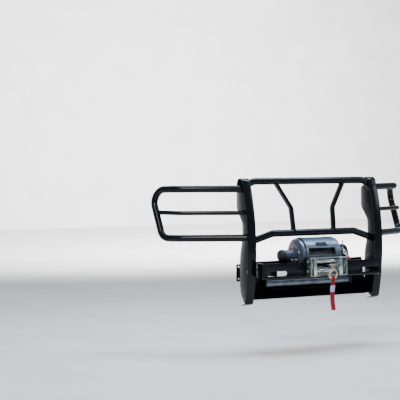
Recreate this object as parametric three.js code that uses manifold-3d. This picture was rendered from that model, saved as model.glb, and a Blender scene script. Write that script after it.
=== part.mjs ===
// Front grille guard for a pickup truck, with the electric winch that is bolted into its tray.
// Millimetres. +X is the viewer's right, +Y runs to the rear of the truck, +Z is up.
// Pieces are laid out from the front face of the uprights (Y = 0) and their feet (Z = 0), and
// the whole guard is then moved so that the origin is midway between its two frame faces.

import * as THREE from "three";
import { mergeVertices } from "three/addons/utils/BufferGeometryUtils.js";
import Module from "manifold-3d";

const wasm = await Module();
wasm.setup();

// ---------------------------------------------------------------- driving dimensions

const GAP = 0.3; // clearance where two pieces touch

const FRAME_FACE_Y = 420; // rear faces of the frame brackets
const FRAME_FACE_Z = 200; // their centre height

const UPRIGHT_X = 528; // centre of each upright
const FLANGE_WIDTH = 66;
const FLANGE_THICK = 6;
const WEB_THICK = 10;
const WEB_IN = UPRIGHT_X - WEB_THICK / 2;
const WEB_OUT = UPRIGHT_X + WEB_THICK / 2;
const ARCH = { y: 129, z: 858, r: 45, legZ: 850 }; // rolled top of each flange

const TUBE_R = 25.4; // 2 in tube
const CAGE_BAR_R = 15.9; // 1 1/4 in tube
const TOP_TUBE = { y: 113, z: 880, bendX: 470, endY: 123, endZ: 838 };
const CROSSBAR = { y: 49, z: 506, kinkX: 339, endY: 68, endZ: 446 };
const BRACE = { wide: 24, deep: 40, topX: 284, kneeX: 173, kneeY: 76, kneeZ: 684, footX: 167 };

const PANEL = { front: -95, thick: 6, halfX: 488, bottom: 190, top: 303 };
const RAISED = { footX: 184, headX: 152, top: 336 }; // part of the panel behind the fairlead
const OVAL = { x: 384, z: 229, length: 165, height: 34 };
const ROPE_WINDOW = { halfX: 85, low: 258, high: 303 };
const TRAY = { low: 250, high: 256, rear: 165, notchY: 17, lipTop: 300, lipHalfX: 480 };
const END_PLATE = { thick: 6, front: 17, rear: 178, low: 190, high: 330 };
const TRAY_BOLTS = [
  { name: "upper", y: 36, z: 282 },
  { name: "lower", y: 46, z: 238 },
];

const LOWER_TUBE = { r: 21, y: 148, z: 137, halfX: 352 };
const ARM = { in: 352, out: 362 };
const FRAME_PLATE = { in: 330, out: 450, low: 135, high: 265, thick: 10 };
const HEM = { y: 95, z: 36, r: 4.5, halfX: 466 };

const AXIS = { y: 45, z: 344 }; // winch drum and motor axis
const COVER = { left: -126, right: 136, outer: 126, inner: 122 };
const COVER_WINDOW = { left: -116, right: 110, low: 338, high: 400 };
const SUPPORT_R = 118;
const SUPPORT_LEFT = { from: -157, to: -130 };
const SUPPORT_RIGHT = { from: 140, to: 160 };
const DRUM = { left: -122, right: 132, flangeR: 76, barrelR: 32, journalR: 18 };
const WINDING_R = 57;
const MOTOR = { left: -250, right: SUPPORT_LEFT.from - GAP, r: 41 };
const MOTOR_CAP = { left: -293, r: 44 };
const GEARBOX = { left: SUPPORT_RIGHT.to + GAP, right: 250, r: 70 };

const FAIRLEAD = { halfX: 150, low: 205, high: 334, front: -165, plate: 6, wall: 6 };
const FAIRLEAD_BACK = PANEL.front - GAP;
const SIDE_SLOT = { y: -145, z: 270, length: 30, height: 12 };
const FLAT_ROLLER = { y: -117, z: [239, 307], r: 14 };
const SIDE_ROLLER = { y: -148, x: 106, r: 15 };
const ROLLER_BORE = 6.4;
const PIN_R = 6;
const FAIRLEAD_BOLT = { x: 127, z: 270 };

const ROPE_R = 4.75;
const HOOK_X = 15;
const PIVOT = { y: -190, z: 278 }; // clevis pin of the hook
const BOWL = { z: 190, y: -190 }; // the strap's loop hangs round the wire here
const STRAP = { width: 34, loopWidth: 22, inner: 12, thick: 3, end: -40 };

// ---------------------------------------------------------------- materials

const paint = (color, roughness, metalness) =>
  new THREE.MeshStandardMaterial({ color, roughness, metalness });
const BLACK = paint(0x14161b, 0.35, 0.2);
const SATIN_GREY = paint(0x8a929b, 0.4, 0.4);
const SILVER = paint(0x8f9db3, 0.4, 0.5);
const ZINC = paint(0xb9c2c4, 0.3, 0.9);
const DARK_PLASTIC = paint(0x1b1c1f, 0.55, 0.0);
const STEEL_ROPE = paint(0x7d8288, 0.45, 0.9);
const HOOK_STEEL = paint(0xb8ab94, 0.35, 0.9);
const RED = paint(0xb5202c, 0.6, 0.0);
const BRIGHT = paint(0xd9e0e6, 0.2, 0.9);

// ---------------------------------------------------------------- solids and placing

const guard = new THREE.Group();
guard.position.set(0, -FRAME_FACE_Y, -FRAME_FACE_Z);

function volume(points, index) {
  let six = 0;
  for (let i = 0; i < index.length; i += 3) {
    const [a, b, c] = [0, 1, 2].map((k) =>
      new THREE.Vector3().fromArray(points, 3 * index[i + k]));
    six += a.dot(b.cross(c));
  }
  return six / 6;
}

// A closed geometry becomes a manifold solid with its faces pointing out.
function solid(geometry) {
  const bare = geometry.clone();
  bare.deleteAttribute("normal");
  bare.deleteAttribute("uv");
  const merged = mergeVertices(bare, 1e-3);
  const vertProperties = new Float32Array(merged.attributes.position.array);
  const triVerts = new Uint32Array(merged.index.array);
  if (volume(vertProperties, triVerts) < 0) triVerts.reverse();
  return new wasm.Manifold(new wasm.Mesh({ numProp: 3, vertProperties, triVerts }));
}

function geometryOf(body) {
  const mesh = body.getMesh();
  const geometry = new THREE.BufferGeometry();
  geometry.setAttribute("position", new THREE.BufferAttribute(mesh.vertProperties, 3));
  geometry.setIndex(new THREE.BufferAttribute(mesh.triVerts, 1));
  return geometry;
}

function piece(name, body, material) {
  const mesh = new THREE.Mesh(geometryOf(body), material);
  mesh.name = name;
  guard.add(mesh);
  return body;
}

// Both sides of the guard are mirror images: make(side, sign) is called once for each.
function bothSides(make) {
  make("left", -1);
  make("right", 1);
}

const join = (...bodies) => bodies.reduce((a, b) => a.add(b));
const polygon = (points) => new THREE.Shape(points.map(([a, b]) => new THREE.Vector2(a, b)));
const extrude = (shape, depth, curveSegments = 10) =>
  new THREE.ExtrudeGeometry(shape, { depth, bevelEnabled: false, curveSegments });

const ALONG_X = new THREE.Matrix4().makeBasis(
  new THREE.Vector3(0, 1, 0), new THREE.Vector3(0, 0, 1), new THREE.Vector3(1, 0, 0));
const ALONG_Y = new THREE.Matrix4().makeBasis(
  new THREE.Vector3(1, 0, 0), new THREE.Vector3(0, 0, 1), new THREE.Vector3(0, -1, 0));

// An outline drawn in (Y, Z), filled from x0 to x1.
function acrossX(shape, x0, x1, curveSegments) {
  const [low, high] = [Math.min(x0, x1), Math.max(x0, x1)];
  return solid(extrude(shape, high - low, curveSegments).applyMatrix4(ALONG_X)
    .translate(low, 0, 0));
}

// An outline drawn in (X, Z), filled from y0 to y1.
function acrossY(shape, y0, y1, curveSegments) {
  return solid(extrude(shape, y1 - y0, curveSegments).applyMatrix4(ALONG_Y)
    .translate(0, y1, 0));
}

// An outline drawn in (X, Y), filled from z0 to z1.
function acrossZ(shape, z0, z1) {
  return solid(extrude(shape, z1 - z0).translate(0, 0, z0));
}

function block(x, y, z) {
  const [dx, dy, dz] = [x, y, z].map(([low, high]) => Math.abs(high - low));
  return solid(new THREE.BoxGeometry(dx, dy, dz)
    .translate((x[0] + x[1]) / 2, (y[0] + y[1]) / 2, (z[0] + z[1]) / 2));
}

// A turned piece on an axis along X; the profile is a list of [x, radius].
function turnedX(profile, y, z, sides = 28) {
  const points = profile.map(([x, r]) => new THREE.Vector2(r, x));
  return solid(new THREE.LatheGeometry(points, sides).rotateZ(-Math.PI / 2)
    .translate(0, y, z));
}

function rodX(x0, x1, r, y, z, sides = 20) {
  return turnedX([[x0, 0], [x0, r], [x1, r], [x1, 0]], y, z, sides);
}

function rodY(y0, y1, r, x, z, sides = 20) {
  return solid(new THREE.CylinderGeometry(r, r, y1 - y0, sides)
    .translate(x, (y0 + y1) / 2, z));
}

function rodZ(z0, z1, r, x, y, sides = 20) {
  return solid(new THREE.CylinderGeometry(r, r, z1 - z0, sides).rotateX(Math.PI / 2)
    .translate(x, y, (z0 + z1) / 2));
}

// A path of straight runs with round bends, sampled only where it turns.
class BentPath extends THREE.Curve {
  constructor(corners, radius, stepsPerBend) {
    super();
    const at = corners.map((c) => new THREE.Vector3(...c));
    const radii = Array.isArray(radius) ? radius : at.map(() => radius);
    const way = (a, b) => b.clone().sub(a).normalize();
    this.points = [at[0]];
    this.ways = [way(at[0], at[1])];
    for (let i = 1; i < at.length - 1; i += 1) {
      const into = way(at[i - 1], at[i]);
      const out = way(at[i], at[i + 1]);
      const turn = into.angleTo(out);
      const reach = radii[i] * Math.tan(turn / 2);
      const start = at[i].clone().addScaledVector(into, -reach);
      const side = out.clone().addScaledVector(into, -out.dot(into)).normalize();
      const steps = Math.max(2, Math.ceil((stepsPerBend * turn) / (Math.PI / 2)));
      for (let k = 0; k <= steps; k += 1) {
        const a = (turn * k) / steps;
        this.points.push(start.clone()
          .addScaledVector(into, radii[i] * Math.sin(a))
          .addScaledVector(side, radii[i] * (1 - Math.cos(a))));
        this.ways.push(into.clone().multiplyScalar(Math.cos(a))
          .addScaledVector(side, Math.sin(a)));
      }
    }
    this.points.push(at[at.length - 1]);
    this.ways.push(way(at[at.length - 2], at[at.length - 1]));
  }
  get steps() { return this.points.length - 1; }
  getPoint(t) { return this.points[Math.round(t * this.steps)].clone(); }
  getPointAt(t) { return this.getPoint(t); }
  getTangent(t) { return this.ways[Math.round(t * this.steps)].clone(); }
  getTangentAt(t) { return this.getTangent(t); }
}

function sweep(section, corners, radius, stepsPerBend = 6) {
  const path = new BentPath(corners, radius, stepsPerBend);
  return solid(new THREE.ExtrudeGeometry(section,
    { steps: path.steps, extrudePath: path, bevelEnabled: false }));
}

function circle(r, sides) {
  const ring = [];
  for (let i = 0; i < sides; i += 1) {
    const a = (2 * Math.PI * i) / sides;
    ring.push([r * Math.cos(a), r * Math.sin(a)]);
  }
  return polygon(ring);
}

const tube = (r, corners, radius, sides = 14, stepsPerBend = 6) =>
  sweep(circle(r, sides), corners, radius, stepsPerBend);

function ovalShape(x, z, length, height) {
  const r = height / 2;
  const run = length / 2 - r;
  const shape = new THREE.Shape();
  shape.absarc(x + run, z, r, -Math.PI / 2, Math.PI / 2);
  shape.absarc(x - run, z, r, Math.PI / 2, (3 * Math.PI) / 2);
  return shape;
}

function hexShape(x, z, across) {
  const corner = across / Math.sqrt(3);
  const points = [0, 1, 2, 3, 4, 5].map((k) => {
    const a = (k * Math.PI) / 3;
    return [x + corner * Math.cos(a), z + corner * Math.sin(a)];
  });
  return polygon(points);
}

// ---------------------------------------------------------------- uprights

// The front line of the flange, from its curled foot to the start of the rolled top.
const FRONT_LINE = [
  [120, -8], [84, 0], [52, 24], [24, 143], [8, 271], [0, 400],
  [11, 570], [33, 700], [60, 800], [ARCH.y - ARCH.r, ARCH.z],
];

function flangeLine() {
  const spline = new THREE.SplineCurve(FRONT_LINE.map(([y, z]) => new THREE.Vector2(y, z)));
  const line = spline.getPoints(26);
  for (let k = 1; k <= 10; k += 1) {
    const a = Math.PI - (Math.PI * k) / 10;
    line.push(new THREE.Vector2(ARCH.y + ARCH.r * Math.cos(a), ARCH.z + ARCH.r * Math.sin(a)));
  }
  line.push(new THREE.Vector2(ARCH.y + ARCH.r, ARCH.legZ));
  return line;
}

// The same line moved inward, to the right of the way it runs.
function inward(line, distance) {
  return line.map((point, i) => {
    const before = line[Math.max(i - 1, 0)];
    const after = line[Math.min(i + 1, line.length - 1)];
    const along = after.clone().sub(before).normalize();
    return new THREE.Vector2(point.x + along.y * distance, point.y - along.x * distance);
  });
}

const line = flangeLine();
const flangeShape = new THREE.Shape([...line, ...inward(line, FLANGE_THICK).reverse()]);

// The web fills the flange and is deepest behind the headlight cage's top tube.
const webFront = inward(line, FLANGE_THICK + GAP).slice(3);
const WEB_REAR = [
  [168, 846], [196, 838], [232, 830], [236, 815], [236, 692], [225, 670],
  [158, 596], [147, 572], [145, 484], [158, 440], [184, 350], [190, 318], [190, 130], [176, 70],
  [140, 22], [112, 6],
];
const webShape = new THREE.Shape([
  ...webFront, ...WEB_REAR.map(([y, z]) => new THREE.Vector2(y, z))]);

const boltHoles = TRAY_BOLTS.map(({ y, z }) => ({ y, z, r: 6.6 }));
const drilled = (body, x0, x1) =>
  boltHoles.reduce((b, { y, z, r }) => b.subtract(rodX(x0, x1, r, y, z, 12)), body);

bothSides((side, sign) => {
  const inner = sign * (UPRIGHT_X - FLANGE_WIDTH / 2);
  const outer = sign * (UPRIGHT_X + FLANGE_WIDTH / 2);
  piece(`upright_flange_${side}`, acrossX(flangeShape, inner, outer), BLACK);
  const web = acrossX(webShape, sign * WEB_IN, sign * WEB_OUT);
  const [from, to] = sign > 0 ? [WEB_IN - 5, WEB_OUT + 5] : [-WEB_OUT - 5, -WEB_IN + 5];
  piece(`upright_web_${side}`, drilled(web, from, to), BLACK);
});

// ---------------------------------------------------------------- tubes between the uprights

const tubeEnd = WEB_IN - GAP;
const topTube = tube(TUBE_R, [
  [-tubeEnd, TOP_TUBE.endY, TOP_TUBE.endZ],
  [-TOP_TUBE.bendX, TOP_TUBE.y, TOP_TUBE.z],
  [TOP_TUBE.bendX, TOP_TUBE.y, TOP_TUBE.z],
  [tubeEnd, TOP_TUBE.endY, TOP_TUBE.endZ],
], 90);
const crossbar = tube(TUBE_R, [
  [-tubeEnd, CROSSBAR.endY, CROSSBAR.endZ],
  [-CROSSBAR.kinkX, CROSSBAR.y, CROSSBAR.z],
  [CROSSBAR.kinkX, CROSSBAR.y, CROSSBAR.z],
  [tubeEnd, CROSSBAR.endY, CROSSBAR.endZ],
], 60, 14, 12);

// The tube ends are slanted, so both are trimmed square to the webs.
const betweenWebs = block([-tubeEnd, tubeEnd], [-400, 800], [-200, 1200]);
piece("top_tube", topTube.intersect(betweenWebs), BLACK);
piece("mid_crossbar", crossbar.intersect(betweenWebs), BLACK);

// Each brace is notched over the two tubes that it is welded to.
const topRelief = rodX(-450, 450, TUBE_R + GAP, TOP_TUBE.y, TOP_TUBE.z, 32);
const crossRelief = rodX(-330, 330, TUBE_R + GAP, CROSSBAR.y, CROSSBAR.z, 32);
bothSides((side, sign) => {
  const corner = 4;
  const w = BRACE.wide / 2;
  const d = BRACE.deep / 2;
  const section = polygon([
    [-d + corner, -w], [d - corner, -w], [d, -w + corner], [d, w - corner],
    [d - corner, w], [-d + corner, w], [-d, w - corner], [-d, -w + corner]]);
  const brace = sweep(section, [
    [sign * BRACE.topX, TOP_TUBE.y - 3, TOP_TUBE.z - 8],
    [sign * BRACE.kneeX, BRACE.kneeY, BRACE.kneeZ],
    [sign * BRACE.footX, CROSSBAR.y, CROSSBAR.z + 4],
  ], 60, 10);
  piece(`brace_${side}`, brace.subtract(topRelief).subtract(crossRelief), BLACK);
});

// ---------------------------------------------------------------- headlight cages

bothSides((side, sign) => {
  const at = (x, y, z) => [sign * x, y, z];
  const start = WEB_OUT + GAP;
  const outboard = block([sign * start, sign * 1300], [-200, 1000], [200, 1100]);
  const loopCorners = [
    at(start - 20, 180, 826), at(935, 385, 829), at(1037, 640, 824),
    at(1019, 461, 475), at(940, 350, 476), at(start - 20, 84, 478)];
  const loopRadii = [0, 120, 90, 80, 110, 0];
  const loop = tube(TUBE_R, loopCorners, loopRadii, 14, 6).intersect(outboard);
  piece(`cage_loop_${side}`, loop, BLACK);
  const relief = tube(TUBE_R + 2 * GAP, loopCorners, loopRadii, 20, 8);
  const bar = tube(CAGE_BAR_R, [at(start - 20, 136, 655), at(937, 350, 657), at(1029, 551, 659)],
    70, 12, 8);
  piece(`cage_bar_${side}`, bar.intersect(outboard).subtract(relief), BLACK);
});

// ---------------------------------------------------------------- winch tray and lower panels

// Front panel: an upright face with its bottom folded back, round-ended tow openings, a raised
// middle behind the fairlead, and a return at each end.
{
  const { front, thick, halfX, bottom, top } = PANEL;
  const fold = 10;
  const lip = 44;
  const section = new THREE.Shape();
  section.moveTo(front, top);
  section.lineTo(front, bottom + fold);
  section.absarc(front + fold, bottom + fold, fold, Math.PI, 1.5 * Math.PI, false);
  section.lineTo(front + lip, bottom);
  section.lineTo(front + lip, bottom + thick);
  section.lineTo(front + fold, bottom + thick);
  section.absarc(front + fold, bottom + fold, fold - thick, 1.5 * Math.PI, Math.PI, true);
  section.lineTo(front + thick, top);
  let panel = acrossX(section, -halfX, halfX, 4);
  const raised = polygon([
    [-RAISED.footX, top - 1], [RAISED.footX, top - 1], [RAISED.headX, RAISED.top],
    [-RAISED.headX, RAISED.top]]);
  panel = panel.add(acrossY(raised, front, front + thick));
  for (const sign of [-1, 1]) {
    panel = panel.add(block([sign * (halfX - thick), sign * halfX],
      [front + 2, TRAY.notchY], [bottom + fold, top]));
    panel = panel.subtract(acrossY(ovalShape(sign * OVAL.x, OVAL.z, OVAL.length, OVAL.height),
      front - 5, front + thick + 5, 9));
    panel = panel.subtract(rodY(front - 5, front + thick + 5, 6.6,
      sign * FAIRLEAD_BOLT.x, FAIRLEAD_BOLT.z, 12));
  }
  panel = panel.subtract(block([-ROPE_WINDOW.halfX, ROPE_WINDOW.halfX],
    [front - 5, front + thick + 5], [ROPE_WINDOW.low, ROPE_WINDOW.high]));
  piece("winch_panel", panel, BLACK);
}

// Tray floor, notched round the flanges, with a lip behind and a drain slot under the drum.
{
  const narrow = PANEL.halfX - PANEL.thick - GAP;
  const wide = WEB_IN - END_PLATE.thick - 2 * GAP;
  const near = PANEL.front + PANEL.thick + GAP;
  const floor = acrossZ(polygon([
    [-narrow, near], [narrow, near], [narrow, TRAY.notchY + 3], [wide, TRAY.notchY + 3],
    [wide, TRAY.rear], [-wide, TRAY.rear], [-wide, TRAY.notchY + 3], [-narrow, TRAY.notchY + 3],
  ]), TRAY.low, TRAY.high);
  const drain = block([-60, 70], [30, 70], [TRAY.low - 5, TRAY.high + 5]);
  const lip = block([-TRAY.lipHalfX, TRAY.lipHalfX], [TRAY.rear - 6, TRAY.rear],
    [TRAY.low + 1, TRAY.lipTop]);
  piece("winch_tray", floor.add(lip).subtract(drain), BLACK);
}

bothSides((side, sign) => {
  const outer = WEB_IN - GAP;
  const inner = outer - END_PLATE.thick;
  const { front, rear, low, high } = END_PLATE;
  const outline = polygon([
    [front + 14, low], [rear - 30, low], [rear, low + 30], [rear, high - 50], [rear - 50, high],
    [front + 4, high], [front, high - 20], [front + 6, low + 14]]);
  const plate = acrossX(outline, sign * inner, sign * outer);
  const [from, to] = sign > 0 ? [inner - 5, outer + 5] : [-outer - 5, -inner + 5];
  piece(`tray_end_${side}`, drilled(plate, from, to), BLACK);
});

// Bolts that hold the tray ends to the webs: hex head and washer outside, nut inside.
bothSides((side, sign) => {
  const out = (x) => sign * x;
  for (const { name, y, z } of TRAY_BOLTS) {
    const head = acrossX(hexShape(y, z, 19), out(WEB_OUT + 2.6), out(WEB_OUT + 11));
    const washer = rodX(...[out(WEB_OUT + GAP), out(WEB_OUT + 2.8)].sort((a, b) => a - b),
      14, y, z, 16);
    const inside = WEB_IN - GAP - END_PLATE.thick - GAP;
    const nut = acrossX(hexShape(y, z, 19), out(inside), out(inside - 11));
    const shank = rodX(...[out(inside - 14), out(WEB_OUT + 3)].sort((a, b) => a - b), 6, y, z, 12);
    piece(`tray_bolt_${side}_${name}`, join(head, washer, nut, shank), ZINC);
  }
});

piece("lower_tube", rodX(-LOWER_TUBE.halfX + GAP, LOWER_TUBE.halfX - GAP,
  LOWER_TUBE.r, LOWER_TUBE.y, LOWER_TUBE.z, 24), SATIN_GREY);

// Frame brackets: a deep arm under the tray with a drilled plate that bolts to the frame horn.
const armShape = polygon([
  [-40, TRAY.low - GAP], [-40, 206], [100, 198], [116, 180], [116, 106], [190, 106], [300, 146],
  [FRAME_FACE_Y - 5, 146], [FRAME_FACE_Y - 5, TRAY.low - GAP]]);
bothSides((side, sign) => {
  const arm = acrossX(armShape, sign * ARM.in, sign * ARM.out);
  const { in: near, out: far, low, high, thick } = FRAME_PLATE;
  let plate = block([sign * near, sign * far], [FRAME_FACE_Y - thick, FRAME_FACE_Y], [low, high]);
  for (const x of [near + 14, far - 18]) {
    for (const z of [low + 20, high - 20]) {
      plate = plate.subtract(rodY(FRAME_FACE_Y - 20, FRAME_FACE_Y + 10, 7, sign * x, z, 14));
    }
  }
  piece(`frame_bracket_${side}`, arm.add(plate), BLACK);
});

// Lower valance: a sheet that slopes down and forward behind the lower tube to a rolled hem.
{
  const sheet = polygon([
    [HEM.y - 2, HEM.z + 1], [HEM.y + 2, HEM.z - 2], [200, 148], [200, 176], [196, 176],
    [196, 150]]);
  const hem = rodX(-HEM.halfX, HEM.halfX, HEM.r, HEM.y, HEM.z, 12);
  let valance = acrossX(sheet, -WEB_IN + GAP, WEB_IN - GAP).add(hem);
  for (const sign of [-1, 1]) {
    valance = valance.subtract(block([sign * (ARM.in - 1), sign * (ARM.out + 1)],
      [60, 220], [104, 190]));
  }
  piece("lower_valance", valance, BLACK);
}

// ---------------------------------------------------------------- winch

// The motor case is ringed by shallow vee grooves.
function ringed(left, right, outer, grooves) {
  const pitch = (right - left) / (grooves + 1);
  const profile = [[left, 0], [left, outer]];
  for (let k = 1; k <= grooves; k += 1) {
    const x = left + k * pitch;
    profile.push([x - pitch * 0.25, outer], [x, outer - 3], [x + pitch * 0.25, outer]);
  }
  profile.push([right, outer], [right, 0]);
  return profile;
}

const motorProfile = ringed(MOTOR.left, MOTOR.right, MOTOR.r, 5);
piece("motor_case", turnedX(motorProfile, AXIS.y, AXIS.z, 20), SILVER);
piece("motor_cap", turnedX([
  [MOTOR_CAP.left, 0], [MOTOR_CAP.left, 30], [MOTOR_CAP.left + 6, 38],
  [MOTOR_CAP.left + 14, 40], [MOTOR_CAP.left + 16, MOTOR_CAP.r],
  [MOTOR.left - 16, MOTOR_CAP.r], [MOTOR.left - 14, 41], [MOTOR.left - GAP, 41],
  [MOTOR.left - GAP, 0]], AXIS.y, AXIS.z, 24), DARK_PLASTIC);

const motorRelief = rodX(MOTOR.left - 10, MOTOR.right + 10, MOTOR.r + GAP, AXIS.y, AXIS.z, 36);
const TERMINALS = [["a", -219, -192], ["b", -187, -160]];
for (const [name, from, to] of TERMINALS) {
  const lug = block([from, to], [2, 24], [304, 321]);
  piece(`motor_terminal_${name}`, lug.subtract(motorRelief), BRIGHT);
}
piece("terminal_boot", rodZ(378, 399, 8, -181, AXIS.y, 14).subtract(motorRelief), RED);

// Each drum support is a round plate cut flat where it stands on the tray.
function supportShape() {
  const foot = TRAY.high + GAP - AXIS.z;
  const low = Math.asin(foot / SUPPORT_R);
  const shape = new THREE.Shape();
  shape.absarc(AXIS.y, AXIS.z, SUPPORT_R, low, Math.PI - low);
  return shape;
}
const TIE_ROD = { r: 7, y: AXIS.y + 78, z: [292, 420] };
for (const [name, { from, to }] of [["left", SUPPORT_LEFT], ["right", SUPPORT_RIGHT]]) {
  let support = acrossX(supportShape(), from, to, 20);
  support = support.subtract(rodX(from - 5, to + 5, DRUM.journalR + GAP, AXIS.y, AXIS.z, 24));
  piece(`drum_support_${name}`, support, SILVER);
}
TIE_ROD.z.forEach((z, i) => {
  const rod = rodX(SUPPORT_LEFT.to + GAP, SUPPORT_RIGHT.from - GAP, TIE_ROD.r, TIE_ROD.y, z, 12);
  piece(`tie_rod_${i === 0 ? "lower" : "upper"}`, rod, ZINC);
});

const { left: drumLeft, right: drumRight, flangeR, barrelR, journalR } = DRUM;
piece("drum", turnedX([
  [SUPPORT_LEFT.from + 6, 0], [SUPPORT_LEFT.from + 6, journalR], [drumLeft, journalR],
  [drumLeft, flangeR], [drumLeft + 6, flangeR], [drumLeft + 6, barrelR],
  [drumRight - 6, barrelR], [drumRight - 6, flangeR], [drumRight, flangeR],
  [drumRight, journalR], [SUPPORT_RIGHT.to - 6, journalR], [SUPPORT_RIGHT.to - 6, 0],
], AXIS.y, AXIS.z, 24), SILVER);

// The wound rope: a sleeve on the drum whose outside follows the turns.
{
  const left = drumLeft + 6 + GAP;
  const right = drumRight - 6 - GAP;
  const turns = 6;
  const pitch = (right - left) / turns;
  const profile = [];
  for (let k = 0; k < turns; k += 1) {
    profile.push([left + k * pitch, WINDING_R - 1.5], [left + (k + 0.5) * pitch, WINDING_R]);
  }
  const bore = barrelR + 4 * GAP;
  profile.push([right, WINDING_R - 1.5], [right, bore], [left, bore]);
  profile.push(profile[0]);
  piece("rope_winding", turnedX(profile, AXIS.y, AXIS.z, 20), STEEL_ROPE);
}

// Arched cover over the drum, with a long window in front.
{
  const dip = 0.05;
  const arch = new THREE.Shape();
  arch.absarc(AXIS.y, AXIS.z, COVER.outer, -dip, Math.PI + dip);
  arch.absarc(AXIS.y, AXIS.z, COVER.inner, Math.PI + dip, -dip, true);
  const window = block([COVER_WINDOW.left, COVER_WINDOW.right], [-120, -20],
    [COVER_WINDOW.low + 6, COVER_WINDOW.high]);
  piece("winch_cover", acrossX(arch, COVER.left, COVER.right, 20).subtract(window), SILVER);
  const plate = new THREE.Shape();
  const [low, high] = [0.58, 0.82].map((a) => Math.PI - a);
  plate.absarc(AXIS.y, AXIS.z, COVER.outer + 1.6, high, low);
  plate.absarc(AXIS.y, AXIS.z, COVER.outer + GAP, low, high, true);
  piece("cover_plate", acrossX(plate, -44, 52, 5), DARK_PLASTIC);
}

piece("gearbox", turnedX([
  [GEARBOX.left, 0], [GEARBOX.left, GEARBOX.r], [GEARBOX.left + 22, GEARBOX.r],
  [GEARBOX.left + 25, GEARBOX.r - 5], [GEARBOX.right - 22, GEARBOX.r - 5],
  [GEARBOX.right - 19, GEARBOX.r - 1], [GEARBOX.right - 4, GEARBOX.r - 1],
  [GEARBOX.right, GEARBOX.r - 6], [GEARBOX.right, 0]], AXIS.y, AXIS.z, 28), BLACK);
piece("gearbox_cap", turnedX([
  [GEARBOX.right + GAP, 0], [GEARBOX.right + GAP, 52], [GEARBOX.right + 10, 50],
  [GEARBOX.right + 15, 42], [GEARBOX.right + 15, 0]], AXIS.y, AXIS.z, 24), DARK_PLASTIC);

// Clutch: a flat lever that turns on the front of the gearbox, and a pull pin that locks it.
const CLUTCH = { x: 207, z: 358, faceY: AXIS.y - GEARBOX.r - GAP };
{
  const { x, z, faceY } = CLUTCH;
  const hub = rodY(faceY - 16, faceY, 17, x, z, 20);
  const arm = acrossY(polygon([
    [x - 15, z + 6], [x + 13, z + 10], [x + 45, z - 38], [x + 27, z - 50]]),
  faceY - 14, faceY - 4);
  piece("clutch_lever", hub.add(arm), BRIGHT);
  const grip = acrossY(polygon([
    [x + 26.6, z - 50.4], [x + 44.6, z - 38.5], [x + 50, z - 46], [x + 50, z - 56],
    [x + 42, z - 61], [x + 34, z - 58]]), faceY - 17, faceY - 1);
  piece("clutch_grip", grip, RED);
  const pinX = 205;
  const pinY = -12;
  const boss = AXIS.z + Math.sqrt(GEARBOX.r ** 2 - (AXIS.y - pinY) ** 2);
  const stem = rodZ(boss + 3, 432, 3.2, pinX, pinY, 10);
  const knob = solid(new THREE.SphereGeometry(8, 14, 10).translate(pinX, pinY, 438));
  const collar = rodZ(boss + 4, boss + 12, 6, pinX, pinY, 12);
  piece("clutch_pin", join(stem, knob, collar), BRIGHT);
}

// ---------------------------------------------------------------- roller fairlead

{
  const { halfX, low, high, front, plate, wall } = FAIRLEAD;
  const back = FAIRLEAD_BACK;
  let frame = block([-halfX, halfX], [back - plate, back], [low, high]);
  frame = frame.add(block([-halfX, halfX], [front, back], [high - wall, high]));
  frame = frame.add(block([-halfX, halfX], [front, back], [low, low + wall]));
  for (const sign of [-1, 1]) {
    frame = frame.add(block([sign * (halfX - wall), sign * halfX], [front, back], [low, high]));
    for (const z of FLAT_ROLLER.z) {
      frame = frame.subtract(rodX(sign * halfX - 10, sign * halfX + 10,
        PIN_R + GAP, FLAT_ROLLER.y, z, 14));
    }
    const sideSlot = acrossX(ovalShape(SIDE_SLOT.y, SIDE_SLOT.z, SIDE_SLOT.length,
      SIDE_SLOT.height), sign * (halfX - 12), sign * (halfX + 5), 4);
    frame = frame.subtract(sideSlot);
    frame = frame.subtract(rodY(back - 12, back + 5, 6.6,
      sign * FAIRLEAD_BOLT.x, FAIRLEAD_BOLT.z, 12));
    frame = frame.subtract(rodZ(low - 5, high + 5, PIN_R + GAP,
      sign * SIDE_ROLLER.x, SIDE_ROLLER.y, 14));
  }
  // The top and bottom are cut back between the side rollers.
  for (const z of [[low - 1, low + wall + 1], [high - wall - 1, high + 1]]) {
    frame = frame.subtract(block([-84, 84], [front - 1, front + 26], z));
  }
  frame = frame.subtract(block([-ROPE_WINDOW.halfX, ROPE_WINDOW.halfX],
    [back - 10, back + 5], [ROPE_WINDOW.low, ROPE_WINDOW.high]));
  piece("fairlead_frame", frame, ZINC);
}

// A roller is a sleeve with eased ends; profile is [along, radius] round its own pin.
function rollerProfile(half, r) {
  return [[-half, ROLLER_BORE], [-half, r - 2], [-half + 2, r], [half - 2, r], [half, r - 2],
    [half, ROLLER_BORE], [-half, ROLLER_BORE]];
}
const FLAT_HALF = FAIRLEAD.halfX - FAIRLEAD.wall - 1;
const SIDE_HALF = (FAIRLEAD.high - FAIRLEAD.low) / 2 - FAIRLEAD.wall - 1;
const FAIRLEAD_MID = (FAIRLEAD.high + FAIRLEAD.low) / 2;

["bottom", "top"].forEach((name, i) => {
  const z = FLAT_ROLLER.z[i];
  piece(`roller_${name}`,
    turnedX(rollerProfile(FLAT_HALF, FLAT_ROLLER.r), FLAT_ROLLER.y, z, 20), BRIGHT);
  const end = FAIRLEAD.halfX;
  piece(`roller_pin_${name}`, turnedX([
    [-end - 5, 0], [-end - 5, 9], [-end - GAP, 9], [-end - GAP, PIN_R], [end + GAP, PIN_R],
    [end + GAP, 9], [end + 4, 9], [end + 4, 0]], FLAT_ROLLER.y, z, 14), ZINC);
});

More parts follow.
